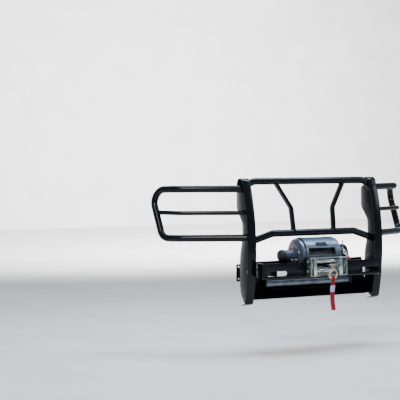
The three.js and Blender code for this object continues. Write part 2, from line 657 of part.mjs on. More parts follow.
bothSides((side, sign) => {
  const upright = (profile, sides) => solid(new THREE.LatheGeometry(
    profile.map(([h, r]) => new THREE.Vector2(r, h)), sides)
    .rotateX(Math.PI / 2)
    .translate(sign * SIDE_ROLLER.x, SIDE_ROLLER.y, FAIRLEAD_MID));
  piece(`roller_${side}`, upright(rollerProfile(SIDE_HALF, SIDE_ROLLER.r), 20), BRIGHT);
  const end = (FAIRLEAD.high - FAIRLEAD.low) / 2;
  piece(`roller_pin_${side}`, upright([
    [-end - 5, 0], [-end - 5, 9], [-end - GAP, 9], [-end - GAP, PIN_R], [end + GAP, PIN_R],
    [end + GAP, 9], [end + 4, 9], [end + 4, 0]], 14), ZINC);
});

bothSides((side, sign) => {
  const x = sign * FAIRLEAD_BOLT.x;
  const { z } = FAIRLEAD_BOLT;
  const face = FAIRLEAD_BACK - FAIRLEAD.plate - GAP;
  const head = acrossY(hexShape(x, z, 18), face - 8, face);
  const behind = PANEL.front + PANEL.thick + GAP;
  const nut = acrossY(hexShape(x, z, 18), behind, behind + 10);
  const shank = rodY(face - 1, behind + 13, 6, x, z, 12);
  piece(`fairlead_bolt_${side}`, join(head, nut, shank), ZINC);
});

// ---------------------------------------------------------------- rope, hook and strap

const EYE = { inner: 7.6, outer: 14, half: 5 };
const FERRULE = { r: 9, from: PIVOT.y + 13.5, to: -148 };

// The rope runs straight from the underside of the winding, between the rollers, to its ferrule.
{
  const reachY = AXIS.y - FERRULE.to;
  const drop = AXIS.z - PIVOT.z;
  const distance = Math.hypot(reachY, drop);
  const clear = WINDING_R + ROPE_R + 0.6;
  const slope = Math.atan2(drop, reachY) - Math.asin(clear / distance);
  const length = Math.sqrt(distance ** 2 - clear ** 2);
  const far = [HOOK_X - 4, FERRULE.to + length * Math.cos(slope),
    PIVOT.z + length * Math.sin(slope)];
  const near = [HOOK_X, FERRULE.to + GAP, PIVOT.z];
  const middle = far.map((v, i) => (v + near[i]) / 2);
  piece("rope_lead", tube(ROPE_R, [far, middle, near], 4000, 10, 2), STEEL_ROPE);
}

{
  const ring = new THREE.Shape();
  ring.absarc(PIVOT.y, PIVOT.z, EYE.outer, 0, 2 * Math.PI);
  const hole = new THREE.Path();
  hole.absarc(PIVOT.y, PIVOT.z, EYE.inner, 0, 2 * Math.PI, true);
  ring.holes.push(hole);
  const eye = acrossX(ring, HOOK_X - EYE.half, HOOK_X + EYE.half, 12);
  const ferrule = rodY(FERRULE.from, FERRULE.to, FERRULE.r, HOOK_X, PIVOT.z, 16);
  piece("rope_eye", eye.add(ferrule), ZINC);
}

piece("clevis_pin", turnedX([
  [HOOK_X - 20, 0], [HOOK_X - 20, 9], [HOOK_X - 15, 9], [HOOK_X - 15, 6.8],
  [HOOK_X + 17, 6.8], [HOOK_X + 17, 0]], PIVOT.y, PIVOT.z, 16), ZINC);

const LATCH = { x: 30, z: 250, r: 3.6 }; // pivot of the sprung latch on the hook's neck

// A forged clevis hook seen from the front: back on the left, point on the right.
const HOOK_OUTER = [
  [8, 262], [4, 250], [-10, 240], [-19, 224], [-20, 208], [-13, 192], [0, 183], [15, 181],
  [30, 183], [43, 191], [51, 204], [54, 219], [52, 231]];
const HOOK_INNER = [
  [46, 232], [43, 222], [39, 210], [31, 201], [22, 198], [8, 198], [0, 203], [-3, 213],
  [0, 225], [8, 234], [19, 241], [24, 250], [22, 262]];
{
  const smooth = (points, n) => new THREE.SplineCurve(
    points.map(([x, z]) => new THREE.Vector2(x, z))).getPoints(n);
  const outline = new THREE.Shape([...smooth(HOOK_OUTER, 18), ...smooth(HOOK_INNER, 16)]);
  const forged = new THREE.ExtrudeGeometry(outline, {
    depth: 7, bevelEnabled: true, bevelThickness: 4.5, bevelSize: 2.2, bevelOffset: -2.2,
    bevelSegments: 1, curveSegments: 4 });
  forged.applyMatrix4(ALONG_Y).translate(0, PIVOT.y + 3.5, 0);
  let hook = solid(forged);
  hook = hook.add(block([HOOK_X - 12.5, HOOK_X + 12.5], [PIVOT.y - 8, PIVOT.y + 8], [250, 262]));
  for (const sign of [-1, 1]) {
    const ear = new THREE.Shape();
    ear.absarc(PIVOT.y, PIVOT.z, 12, 0, Math.PI);
    ear.lineTo(PIVOT.y - 9, 256);
    ear.lineTo(PIVOT.y + 9, 256);
    hook = hook.add(acrossX(ear, HOOK_X + sign * 6.3, HOOK_X + sign * 12.5, 6));
  }
  hook = hook.subtract(rodX(HOOK_X - 30, HOOK_X + 30, 6.8 + GAP, PIVOT.y, PIVOT.z, 20));
  hook = hook.subtract(rodY(PIVOT.y - 20, PIVOT.y + 20, LATCH.r + GAP, LATCH.x, LATCH.z, 16));
  piece("hook", hook, HOOK_STEEL);
}

// Sprung latch: a thin tongue from the hook's throat to just behind its point.
{
  const tongue = polygon([
    [LATCH.x - 1, LATCH.z - 3], [LATCH.x + 2, LATCH.z + 2], [45.2, 234.6], [42.6, 232.4]]);
  const blade = acrossY(tongue, PIVOT.y - 4, PIVOT.y + 4);
  const knuckle = rodY(PIVOT.y - 6, PIVOT.y + 6, LATCH.r, LATCH.x, LATCH.z, 12);
  piece("hook_latch", blade.add(knuckle), BRIGHT);
}

// Pull strap: webbing folded into a narrow loop round the hook, sewn, and hanging free below.
{
  const { width, loopWidth, inner, thick, end } = STRAP;
  const outer = inner + thick;
  const loop = new THREE.Shape();
  loop.absarc(BOWL.y, BOWL.z, outer, 0, 2 * Math.PI);
  const eye = new THREE.Path();
  eye.absarc(BOWL.y, BOWL.z, inner, 0, 2 * Math.PI, true);
  loop.holes.push(eye);
  const ring = acrossX(loop, HOOK_X - loopWidth / 2, HOOK_X + loopWidth / 2, 12);
  const neckTop = BOWL.z - inner - 1;
  const tail = acrossY(polygon([
    [HOOK_X - loopWidth / 2, neckTop], [HOOK_X + loopWidth / 2, neckTop],
    [HOOK_X + width / 2, neckTop - 22], [HOOK_X + width / 2, end],
    [HOOK_X - width / 2, end], [HOOK_X - width / 2, neckTop - 22]]),
  BOWL.y - thick, BOWL.y + thick);
  piece("strap", ring.add(tail), RED);
}

export default guard;
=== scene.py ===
"""Looks of the front grille guard and its winch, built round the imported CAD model.

Lengths in the drawing helpers are millimetres in the guard's own layout: X to the viewer's right,
Y back from the front face of the uprights, Z up from their feet. place() turns them into the row
frame, which is in metres with its origin midway between the two frame faces.
"""

from math import asin, atan2, copysign, cos, degrees, hypot, pi, radians, sin, sqrt, tan

import bmesh
import bpy
from mathutils import Matrix, Vector


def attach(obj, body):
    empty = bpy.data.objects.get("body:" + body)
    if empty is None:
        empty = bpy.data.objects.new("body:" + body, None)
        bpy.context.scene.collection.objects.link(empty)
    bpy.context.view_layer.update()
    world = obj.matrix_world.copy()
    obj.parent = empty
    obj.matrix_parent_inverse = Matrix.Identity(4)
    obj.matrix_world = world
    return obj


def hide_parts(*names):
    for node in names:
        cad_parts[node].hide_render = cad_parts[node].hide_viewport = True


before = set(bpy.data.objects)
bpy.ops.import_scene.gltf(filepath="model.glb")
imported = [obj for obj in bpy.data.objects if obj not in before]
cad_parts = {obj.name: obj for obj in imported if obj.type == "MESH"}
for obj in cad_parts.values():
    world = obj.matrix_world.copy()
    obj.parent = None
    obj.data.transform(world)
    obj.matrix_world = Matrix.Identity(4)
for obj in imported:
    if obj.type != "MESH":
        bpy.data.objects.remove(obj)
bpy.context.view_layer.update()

FRAME_FACE_Y = 420
FRAME_FACE_Z = 200
GROUND_Z = -338
SIDES = (("left", -1), ("right", 1))


def place(x, y, z):
    return Vector((x, y - FRAME_FACE_Y, z - FRAME_FACE_Z)) / 1000


# ------------------------------------------------------------------ camera

LENS = 101.2
EYE = place(-4139, -7049, 948)
YAW, PITCH, ROLL = (radians(a) for a in (24.48, 1.407, 0.562))


def make_camera():
    forward = Vector((sin(YAW) * cos(PITCH), cos(YAW) * cos(PITCH),
                      -sin(PITCH)))
    level = Vector((cos(YAW), -sin(YAW), 0))
    down = forward.cross(level)
    across = level * cos(ROLL) + down * sin(ROLL)
    up = level * sin(ROLL) - down * cos(ROLL)
    data = bpy.data.cameras.new("main_view")
    data.sensor_width = 36
    data.lens = LENS
    camera = bpy.data.objects.new("main_view", data)
    turn = Matrix((across, up, -forward)).transposed().to_4x4()
    camera.matrix_world = Matrix.Translation(EYE) @ turn
    bpy.context.scene.collection.objects.link(camera)
    bpy.context.scene.camera = camera


make_camera()

# ------------------------------------------------------------------ materials


class Paint:
    """A principled material whose colour, roughness and relief come from noise nodes."""

    def __init__(self, name, color, rough, metallic=0.0, **sockets):
        self.material = bpy.data.materials.new(name)
        self.material.use_nodes = True
        self.tree = self.material.node_tree
        self.shader = self.tree.nodes["Principled BSDF"]
        self.shader.inputs["Base Color"].default_value = (*color, 1)
        self.shader.inputs["Roughness"].default_value = rough
        self.shader.inputs["Metallic"].default_value = metallic
        for key, value in sockets.items():
            self.shader.inputs[key.replace("_", " ")].default_value = value
        self.coords = self.tree.nodes.new("ShaderNodeTexCoord").outputs["Object"]
        self.normal = None

    def node(self, kind, **inputs):
        made = self.tree.nodes.new(kind)
        for key, value in inputs.items():
            self.put(made.inputs[key.replace("_", " ")], value)
        return made

    def put(self, socket, value):
        if isinstance(value, bpy.types.NodeSocket):
            self.tree.links.new(value, socket)
        else:
            socket.default_value = value

    def stretched(self, scale):
        mapping = self.node("ShaderNodeMapping", Vector=self.coords)
        mapping.inputs["Scale"].default_value = scale
        return mapping.outputs["Vector"]

    def noise(self, scale, detail=3.0, stretch=None):
        where = self.stretched(stretch) if stretch else self.coords
        made = self.node("ShaderNodeTexNoise", Vector=where, Scale=scale, Detail=detail)
        return made.outputs["Fac"]

    def wave(self, scale, direction, distortion=0.0):
        made = self.node("ShaderNodeTexWave", Vector=self.coords, Scale=scale,
                         Distortion=distortion)
        made.bands_direction = direction
        return made.outputs["Fac"]

    def span(self, value, low, high, start=0.35, end=0.65):
        made = self.node("ShaderNodeMapRange", Value=value)
        made.inputs["From Min"].default_value = start
        made.inputs["From Max"].default_value = end
        made.inputs["To Min"].default_value = low
        made.inputs["To Max"].default_value = high
        return made.outputs["Result"]

    def mixed(self, factor, first, second):
        made = self.tree.nodes.new("ShaderNodeMix")
        made.data_type = "RGBA"
        for index, value in ((0, factor), (6, first), (7, second)):
            if isinstance(value, tuple):
                value = (*value, 1)
            self.put(made.inputs[index], value)
        return made.outputs[2]

    def color(self, factor, first, second):
        self.put(self.shader.inputs["Base Color"], self.mixed(factor, first, second))

    def rough(self, value):
        self.put(self.shader.inputs["Roughness"], value)

    def relief(self, height, depth, strength=1.0):
        bump = self.node("ShaderNodeBump", Height=height, Strength=strength, Distance=depth)
        if self.normal is not None:
            self.put(bump.inputs["Normal"], self.normal)
        self.normal = bump.outputs["Normal"]
        self.put(self.shader.inputs["Normal"], self.normal)


def coat(name, color, rough, metallic, tint, wear, grain, **sockets):
    """tint: noise scale, detail, dark, light; wear: noise scale, detail, low, high roughness;
    grain: noise scale, detail, depth, strength."""
    p = Paint(name, color, rough, metallic, **sockets)
    p.color(p.span(p.noise(*tint[:2]), 0, 1), *tint[2:])
    p.rough(p.span(p.noise(*wear[:2]), *wear[2:]))
    p.relief(p.noise(*grain[:-2]), *grain[-2:])
    return p.material


def winch_enamel():
    p = Paint("winch_enamel", (0.33, 0.38, 0.46), 0.36, 0.62, Coat_Weight=0.3,
              Coat_Roughness=0.2)
    flake = p.span(p.noise(1500, 1), 0, 1, 0.4, 0.6)
    p.color(flake, (0.05, 0.07, 0.105), (0.15, 0.19, 0.27))
    p.rough(p.span(p.noise(30, 5), 0.3, 0.42))
    p.relief(p.noise(700, 2), 0.0001, 0.1)
    return p.material


def ground_steel(name, stretch):
    p = Paint(name, (0.78, 0.8, 0.82), 0.2, 1.0)
    rings = p.noise(1, 4, stretch)
    p.color(p.span(rings, 0, 1), (0.42, 0.46, 0.47), (0.74, 0.78, 0.8))
    p.rough(p.span(p.noise(1.7, 4, stretch), 0.12, 0.26))
    p.relief(rings, 0.00004, 0.03)
    return p.material


def moulded(name, dark, light, rough=0.5):
    return coat(name, dark, rough, 0.0, (70, 4, dark, light),
                (300, 3, rough - 0.1, rough + 0.12), (1800, 2, 0.00012, 0.5))


def webbing(name, dark, light):
    p = Paint(name, light, 0.8, 0.0, Sheen_Weight=0.08, Sheen_Roughness=0.4,
              Specular_IOR_Level=0.25)
    ribs = p.wave(190, "X", 0.6)
    picks = p.wave(160, "Z", 0.6)
    weave = p.node("ShaderNodeMath")
    weave.operation = "MULTIPLY"
    p.put(weave.inputs[0], ribs)
    p.put(weave.inputs[1], picks)
    p.color(p.span(weave.outputs[0], 0, 1, 0.0, 0.7), dark, light)
    p.rough(p.span(p.noise(500, 3), 0.7, 0.92))
    p.relief(weave.outputs[0], 0.0007, 0.7)
    p.relief(p.noise(1600, 3), 0.0002, 0.4)
    return p.material


def floor_paint():
    p = Paint("pale_floor", (0.72, 0.72, 0.71), 0.75)
    p.color(p.span(p.noise(1.5, 4), 0, 1), (0.7, 0.7, 0.69), (0.76, 0.76, 0.75))
    return p.material


BLACK = coat("powder_coat", (0.002, 0.003, 0.005), 0.2, 0.0,
             (9, 4, (0.0012, 0.002, 0.0035), (0.003, 0.004, 0.007)),
             (26, 3, 0.16, 0.22), (520, 2, 0.0001, 0.02), IOR=1.3)
SILVER = winch_enamel()
# Lighter grey coat for the lower tube: a painted highlight, standing in for the bright band of
# light along the tube, not its own finish.
HIGHLIGHT_GREY = coat("satin_grey", (0.2, 0.23, 0.27), 0.35, 0.3,
            (14, 4, (0.13, 0.155, 0.19), (0.25, 0.285, 0.34)),
            (40, 4, 0.28, 0.42), (520, 2, 0.0001, 0.04))
ZINC = coat("zinc_plate", (0.6, 0.64, 0.62), 0.3, 1.0,
            (38, 5, (0.33, 0.4, 0.375), (0.5, 0.58, 0.545)),
            (120, 5, 0.22, 0.38), (900, 2, 0.00005, 0.05))
BRIGHT = ground_steel("bright_steel", (30, 30, 30))
ROLLER_ACROSS = ground_steel("roller_across", (700, 9, 9))
ROLLER_UPRIGHT = ground_steel("roller_upright", (9, 9, 700))
ROPE = coat("rope_steel", (0.3, 0.3, 0.3), 0.42, 0.9,
            (220, 4, (0.12, 0.12, 0.12), (0.5, 0.5, 0.49)),
            (400, 3, 0.3, 0.55), (1400, 2, (1, 3, 3), 0.0003, 0.8))
GOLD = coat("forged_gold", (0.55, 0.45, 0.28), 0.42, 0.85,
            (60, 5, (0.34, 0.25, 0.17), (0.74, 0.61, 0.5)),
            (150, 5, 0.32, 0.56), (240, 4, 0.0004, 0.5))
NAMEPLATE = moulded("black_plate", (0.002, 0.002, 0.003), (0.005, 0.005, 0.006), 0.8)
PLASTIC = moulded("dark_moulding", (0.004, 0.005, 0.006), (0.012, 0.013, 0.016))
RED_CAP = moulded("red_cap", (0.36, 0.015, 0.02), (0.55, 0.03, 0.04), 0.4)
WEBBING = webbing("red_webbing", (0.16, 0.004, 0.01), (0.5, 0.012, 0.035))
SEWN = webbing("sewn_webbing", (0.09, 0.004, 0.01), (0.25, 0.012, 0.025))
THREAD = moulded("thread", (0.3, 0.02, 0.03), (0.6, 0.1, 0.12), 0.7)
LABEL = moulded("blank_label", (0.24, 0.27, 0.55), (0.5, 0.54, 0.82), 0.6)

# ------------------------------------------------------------------ drawing helpers


def piece(name, mesh, material, body="guard", replaces=(), crease=32):
    """Links a mesh as a piece that rides on a body and may stand for CAD nodes."""
    mesh.materials.clear()
    mesh.materials.append(material)
    mesh.shade_smooth()
    mesh.set_sharp_from_angle(angle=radians(crease))
    made = bpy.data.objects.new(name, mesh)
    bpy.context.scene.collection.objects.link(made)
    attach(made, body)
    if replaces:
        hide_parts(*([replaces] if isinstance(replaces, str) else replaces))
    return made


def cleaned(mesh, distance):
    """Merges doubled points and turns every face outward."""
    work = bmesh.new()
    work.from_mesh(mesh)
    bmesh.ops.remove_doubles(work, verts=work.verts, dist=distance)
    bmesh.ops.recalc_face_normals(work, faces=work.faces)
    work.to_mesh(mesh)
    work.free()
    return mesh


def stretch(sign, near, far):
    """Low and high X of a stretch between two distances from the guard's middle, on one side."""
    return sorted((sign * near, sign * far))


def mesh_of(verts, faces):
    mesh = bpy.data.meshes.new("part")
    mesh.from_pydata([place(*v) for v in verts], [], faces)
    return cleaned(mesh, 1e-6)


def tube_faces(rows, around, closed=False, capped=True):
    """Quads between rows of points that each run round, with a cap on each open end."""
    faces = []
    for i in range(rows if closed else rows - 1):
        j = (i + 1) % rows
        for k in range(around):
            m = (k + 1) % around
            faces.append((i * around + k, i * around + m, j * around + m, j * around + k))
    if capped and not closed:
        faces.append(tuple(range(around))[::-1])
        faces.append(tuple((rows - 1) * around + k for k in range(around)))
    return faces


def shell_faces(rows, columns):
    """Faces of a thin shell whose points are an outer grid and then an inner one."""
    layer = rows * columns
    faces = []
    for i in range(rows - 1):
        for k in range(columns - 1):
            a = i * columns + k
            b = a + layer
            faces.append((a, a + 1, a + columns + 1, a + columns))
            faces.append((b, b + columns, b + columns + 1, b + 1))
        for k in (0, columns - 1):
            a = i * columns + k
            faces.append((a, a + columns, a + columns + layer, a + layer))
    for i in (0, rows - 1):
        for k in range(columns - 1):
            a = i * columns + k
            faces.append((a, a + 1, a + 1 + layer, a + layer))
    return faces


def joined(*meshes):
    whole = bmesh.new()
    for mesh in meshes:
        whole.from_mesh(mesh)
    mesh = bpy.data.meshes.new("joined")
    whole.to_mesh(mesh)
    whole.free()
    return mesh


def evaluated(data, *modifiers):
    """The mesh of a mesh or curve after modifiers, each (kind, settings)."""
    holder = bpy.data.objects.new("holder", data)
    bpy.context.scene.collection.objects.link(holder)
    for kind, settings in modifiers:
        modifier = holder.modifiers.new(kind, kind)
        for key, value in settings.items():
            setattr(modifier, key, value)
    graph = bpy.context.evaluated_depsgraph_get()
    result = bpy.data.meshes.new_from_object(holder.evaluated_get(graph))
    bpy.data.objects.remove(holder)
    return result


def circle(radius, count):
    step = 2 * pi / count
    return [(radius * cos(k * step), radius * sin(k * step)) for k in range(count)]


def arc(x, y, radius, start, end, count):
    """Points along part of a circle, from one angle to another."""
    return [(x + radius * cos(a), y + radius * sin(a))
            for a in (start + (end - start) * k / count for k in range(count + 1))]


def rounded(points, radius, steps=5):
    """Rounds every corner of a closed outline; radius may be a list, one per corner."""
    radii = radius if isinstance(radius, (list, tuple)) else [radius] * len(points)
    outline = []
    for i, (x, y) in enumerate(points):
        here = Vector((x, y))
        back = Vector(points[i - 1]) - here
        on = Vector(points[(i + 1) % len(points)]) - here
        turn = pi - back.angle(on)
        reach = radii[i] * tan(turn / 2)
        reach = min(reach, back.length * 0.49, on.length * 0.49)
        if reach < 0.05:
            outline.append((x, y))
            continue
        start = here + back.normalized() * reach
        end = here + on.normalized() * reach
        for k in range(steps + 1):
            t = k / steps
            point = start * (1 - t) ** 2 + here * 2 * t * (1 - t) + end * t ** 2
            outline.append((point.x, point.y))
    return outline


def box_outline(left, right, low, high, radius, steps=5):
    """A rectangle with rounded corners."""
    return rounded([(left, low), (right, low), (right, high), (left, high)], radius, steps)


def oval(x, y, length, height, steps=14):
    r = height / 2
    run = length / 2 - r
    return (arc(x + run, y, r, -pi / 2, pi / 2, steps)
            + arc(x - run, y, r, pi / 2, 3 * pi / 2, steps))


def ring(x, y, radius, count=28):
    return [(x + a, y + b) for a, b in circle(radius, count)]


AXES = {  # where an outline's two directions and its thickness go
    "X": Matrix(((0, 0, 1), (1, 0, 0), (0, 1, 0))),
    "Y": Matrix(((1, 0, 0), (0, 0, -1), (0, 1, 0))),
    "Z": Matrix(((1, 0, 0), (0, 1, 0), (0, 0, 1))),
}


def plate(axis, low, high, outline, holes=(), edge=0.8):
    """A flat plate with eased edges, filled from low to high along an axis."""
    data = bpy.data.curves.new("plate", "CURVE")
    data.dimensions = "2D"
    data.fill_mode = "BOTH"
    data.extrude = (high - low) / 2 - edge
    data.bevel_depth = edge
    data.bevel_resolution = 1
    data.offset = -edge
    for loop in (outline, *holes):
        spline = data.splines.new("POLY")
        spline.points.add(len(loop) - 1)
        for point, (a, b) in zip(spline.points, loop):
            point.co = (a, b, 0, 1)
        spline.use_cyclic_u = True
    mesh = evaluated(data)
    along = AXES[axis] @ Vector((0, 0, 1))
    middle = (low + high) / 2
    shift = Vector([middle if abs(c) > 0.5 else 0 for c in along])
    turn = AXES[axis].to_4x4()
    scale = Matrix.Scale(0.001, 4)
    home = Matrix.Translation(place(0, 0, 0))
    mesh.transform(home @ scale @ Matrix.Translation(shift) @ turn)
    return cleaned(mesh, 1e-7)


def turned(axis, centre, profile, sides=56):
    """A turned piece; profile is a list of (along the axis, radius), centre the axis's place."""
    verts = []
    for along, radius in profile:
        for a, b in circle(max(radius, 0.001), sides):
            verts.append({
                "X": (along, centre[0] + a, centre[1] + b),
                "Y": (centre[0] + a, along, centre[1] + b),
                "Z": (centre[0] + a, centre[1] + b, along)}[axis])
    return mesh_of(verts, tube_faces(len(profile), sides, capped=False))


def eased(start, end, radius, ease=1.0, bore=0.0):
    """Profile of a rod or sleeve with rounded ends."""
    soft = ease * 0.3
    return [(start, bore), (start, radius - ease), (start + soft, radius - soft),
            (start + ease, radius), (end - ease, radius), (end - soft, radius - soft),
            (end, radius - ease), (end, bore)] + ([(start, bore)] if bore else [])


def bent(corners, radii, step=3.5):
    """Points along straight runs joined by round bends."""
    at = [Vector(c) for c in corners]
    bends = radii if isinstance(radii, (list, tuple)) else [radii] * len(at)
    points = [at[0]]
    for i in range(1, len(at) - 1):
        into = (at[i] - at[i - 1]).normalized()
        out = (at[i + 1] - at[i]).normalized()
        turn = into.angle(out)
        start = at[i] - into * bends[i] * tan(turn / 2)
        side = (out - into * out.dot(into)).normalized()
        count = max(3, round(degrees(turn) / step))
        for k in range(count + 1):
            a = turn * k / count
            points.append(start + into * bends[i] * sin(a)
                          + side * bends[i] * (1 - cos(a)))
    points.append(at[-1])
    return points


def swept(points, section, closed=False, side=None, scale=None, twist=0.0):
    """Sweeps a section along points; side fixes which way its first direction looks."""
    count = len(points)
    points = [Vector(p) for p in points]
    ways = []
    for i in range(count):
        before = points[i - 1] if closed or i else points[0]
        after = points[(i + 1) % count] if closed or i < count - 1 else points[-1]
        ways.append((after - before).normalized())
    normal = min((Vector((1, 0, 0)), Vector((0, 1, 0)), Vector((0, 0, 1))),
                 key=lambda v: abs(v.dot(ways[0])))
    verts = []
    travelled = 0.0
    for i, (point, way) in enumerate(zip(points, ways)):
        normal = Vector(side) if side is not None else normal
        normal = (normal - way * normal.dot(way)).normalized()
        other = way.cross(normal)
        size = scale(i / (count - 1)) if scale else 1.0
        if i:
            travelled += (point - points[i - 1]).length
        c, s = cos(twist * travelled), sin(twist * travelled)
        for a, b in section:
            verts.append(point + (normal * (a * c - b * s) + other * (a * s + b * c)) * size)
    return mesh_of(verts, tube_faces(count, len(section), closed))


def hexagon(x, y, across):
    corner = across / sqrt(3)
    return [(x + corner * cos(k * pi / 3), y + corner * sin(k * pi / 3))
            for k in range(6)]


def hex_head(axis, x, y, start, end, across):
    low, high = min(start, end), max(start, end)
    return plate(axis, low, high, rounded(hexagon(x, y, across), 1.2, 2), edge=0.9)


def catmull(points, spans, start=0.0):
    """Points along a uniform Catmull-Rom spline, from start to its end, in control units."""
    last = len(points) - 1
    result = []
    for k in range(spans + 1):
        t = start + (last - start) * k / spans
        i = min(int(t), last - 1)
        w = t - i
        p0, p1, p2, p3 = (Vector(points[max(0, min(last, j))]) for j in (i - 1, i, i + 1, i + 2))
        v0 = (p2 - p0) * 0.5
        v1 = (p3 - p1) * 0.5
        result.append((p1 * 2 - p2 * 2 + v0 + v1) * w ** 3
                      + (p1 * -3 + p2 * 3 - v0 * 2 - v1) * w ** 2 + v0 * w + p1)
    return result


# ------------------------------------------------------------------ uprights

GAP = 0.3
UPRIGHT_X = 528
FLANGE_WIDTH = 66
FLANGE_THICK = 6
WEB_IN, WEB_OUT = 523, 533
INNER = WEB_IN - GAP
ARCH_Y, ARCH_Z, ARCH_R, ARCH_LEG_Z = 129, 858, 45, 850
FRONT_LINE = [(120, -8), (84, 0), (52, 24), (24, 143), (8, 271), (0, 400), (11, 570), (33, 700),
              (60, 800), (ARCH_Y - ARCH_R, ARCH_Z)]
WEB_REAR = [(168, 846), (196, 838), (232, 830), (236, 815), (236, 692), (225, 670), (158, 596),
            (147, 572), (145, 484), (158, 440), (184, 350), (190, 318), (190, 130), (176, 70),
            (140, 22), (112, 6)]


def front_line(start=0.0, spans=90):
    line = catmull(FRONT_LINE, spans, start)
    line += [Vector(p) for p in arc(ARCH_Y, ARCH_Z, ARCH_R, pi, 0, 24)[1:]]
    line.append(Vector((ARCH_Y + ARCH_R, ARCH_LEG_Z)))
    return line


def inward(line, distance):
    moved = []
    for i, point in enumerate(line):
        along = (line[min(i + 1, len(line) - 1)] - line[max(i - 1, 0)]).normalized()
        moved.append(point + Vector((along.y, -along.x)) * distance)
    return moved


def uprights():
    line = front_line()
    skin = [tuple(p) for p in line] + [tuple(p) for p in reversed(inward(line, FLANGE_THICK))]
    web_front = [tuple(p) for p in inward(front_line(1.04), FLANGE_THICK - 0.5)]
    rear = rounded(WEB_REAR, 14, 4)
    for side, sign in SIDES:
        a, b = stretch(sign, UPRIGHT_X - FLANGE_WIDTH / 2, UPRIGHT_X + FLANGE_WIDTH / 2)
        piece(f"flange_{side}", plate("X", a, b, skin, edge=1.4), BLACK,
              replaces=f"upright_flange_{side}")
        a, b = stretch(sign, WEB_IN, WEB_OUT)
        piece(f"web_{side}", plate("X", a, b, web_front + rear, edge=1.2), BLACK,
              replaces=f"upright_web_{side}")


uprights()

# ------------------------------------------------------------------ tubes and welds

TUBE_R = 25.4
BAR_R = 15.9
TOP_Y, TOP_Z = 113, 880
TOP_PATH = [(-INNER, 123, 838), (-470, TOP_Y, TOP_Z), (470, TOP_Y, TOP_Z), (INNER, 123, 838)]
CROSS_Y, CROSS_Z = 49, 506
CROSS_PATH = [(-INNER, 68, 446), (-339, CROSS_Y, CROSS_Z), (339, CROSS_Y, CROSS_Z),
              (INNER, 68, 446)]
LOOP_START = WEB_OUT + GAP


def weld(name, centre, way, radius, plane_x):
    """A rippled bead where a round tube meets the upright face at plane_x."""
    way = Vector(way).normalized()
    first = way.cross(Vector((0, 0, 1))).normalized()
    second = way.cross(first)
    path = []
    count = 84
    for k in range(count):
        a = 2 * pi * k / count
        ripple = 1 + 0.35 * (k % 3 == 0)
        point = Vector(centre) + (first * cos(a) + second * sin(a)) * (radius + ripple)
        path.append(point + way * ((plane_x - point.x) / way.x))
    piece(name, swept(path, circle(3.6, 8), closed=True), BLACK)


def trimmed(mesh, low, high):
    """Cuts a mesh square at X = low and X = high, in millimetres, and closes it."""
    cut = bmesh.new()
    cut.from_mesh(mesh)
    for x, way in ((low, -1), (high, 1)):
        everything = cut.verts[:] + cut.edges[:] + cut.faces[:]
        made = bmesh.ops.bisect_plane(cut, geom=everything, plane_co=(x / 1000, 0, 0),
                                      plane_no=(way, 0, 0), clear_outer=True)
        edges = [e for e in made["geom_cut"] if isinstance(e, bmesh.types.BMEdge)]
        if edges:
            bmesh.ops.holes_fill(cut, edges=edges)
    cut.to_mesh(mesh)
    cut.free()
    return mesh


def cross_tubes():
    for name, path, radius in (("top_tube", TOP_PATH, 90), ("mid_crossbar", CROSS_PATH, 60)):
        longer = [Vector(p) for p in path]
        longer[0] = longer[0] + (longer[0] - longer[1]).normalized() * 20
        longer[-1] = longer[-1] + (longer[-1] - longer[-2]).normalized() * 20
        mesh = swept(bent(longer, radius), circle(TUBE_R, 40))
        piece(f"{name}_smooth", trimmed(mesh, -INNER, INNER), BLACK, replaces=name)
        for side, sign in SIDES:
            end, inner = (path[-1], path[-2]) if sign > 0 else (path[0], path[1])
            way = Vector(end) - Vector(inner)
            weld(f"{name}_weld_{side}", end, way, TUBE_R, sign * (INNER - 0.2))


def cage(side, sign):
    def at(x, y, z):
        return Vector((sign * x, y, z))

    start = LOOP_START - 20
    corners = [at(start, 180, 826), at(935, 385, 829), at(1037, 640, 824),
               at(1019, 461, 475), at(940, 350, 476), at(start, 84, 478)]
    low, high = stretch(sign, LOOP_START, 1300)
    loop = swept(bent(corners, [0, 120, 90, 80, 110, 0]), circle(TUBE_R, 40))
    piece(f"cage_loop_{side}_smooth", trimmed(loop, low, high), BLACK,
          replaces=f"cage_loop_{side}")
    bar_path = [at(start, 136, 655), at(937, 350, 657), at(1029, 551, 659)]
    bar = swept(bent(bar_path, 70), circle(BAR_R, 32))
    piece(f"cage_bar_{side}_smooth", trimmed(bar, low, high), BLACK,
          replaces=f"cage_bar_{side}")
    face = sign * (LOOP_START - 0.2)
    weld(f"cage_weld_top_{side}", corners[0], corners[1] - corners[0], TUBE_R, face)
    weld(f"cage_weld_low_{side}", corners[5], corners[5] - corners[4], TUBE_R, face)
    weld(f"cage_weld_bar_{side}", bar_path[0], bar_path[1] - bar_path[0], BAR_R, face)


def brace(side, sign):
    path = bent([(sign * 284, TOP_Y - 3, TOP_Z - 8), (sign * 173, 76, 684),
                 (sign * 167, CROSS_Y, CROSS_Z + 4)], 60)
    section = box_outline(-20, 20, -12, 12, 5, 4)
    piece(f"brace_{side}_smooth", swept(path, section, side=(0, 1, 0)), BLACK,
          replaces=f"brace_{side}")
    # A bead lies where the brace meets each tube, wrapped over the tube's roundness.
    ends = (("top", path[0], path[3], (TOP_Y, TOP_Z)),
            ("foot", path[-1], path[-4], (CROSS_Y, CROSS_Z)))
    for label, end, near, centre in ends:
        way = (near - end).normalized()
        bead = []
        for a, b in box_outline(-21, 21, -13, 13, 6, 6):
            across = Vector((0, 1, 0))
            across = (across - way * across.dot(way)).normalized()
            point = end + across * a + way.cross(across) * b
            for _ in range(60):
                if hypot(point.y - centre[0], point.z - centre[1]) > TUBE_R + 1:
                    break
                point = point + way * 1.0
            bead.append(point)
        piece(f"brace_weld_{label}_{side}", swept(bead, circle(3.0, 8), closed=True), BLACK)


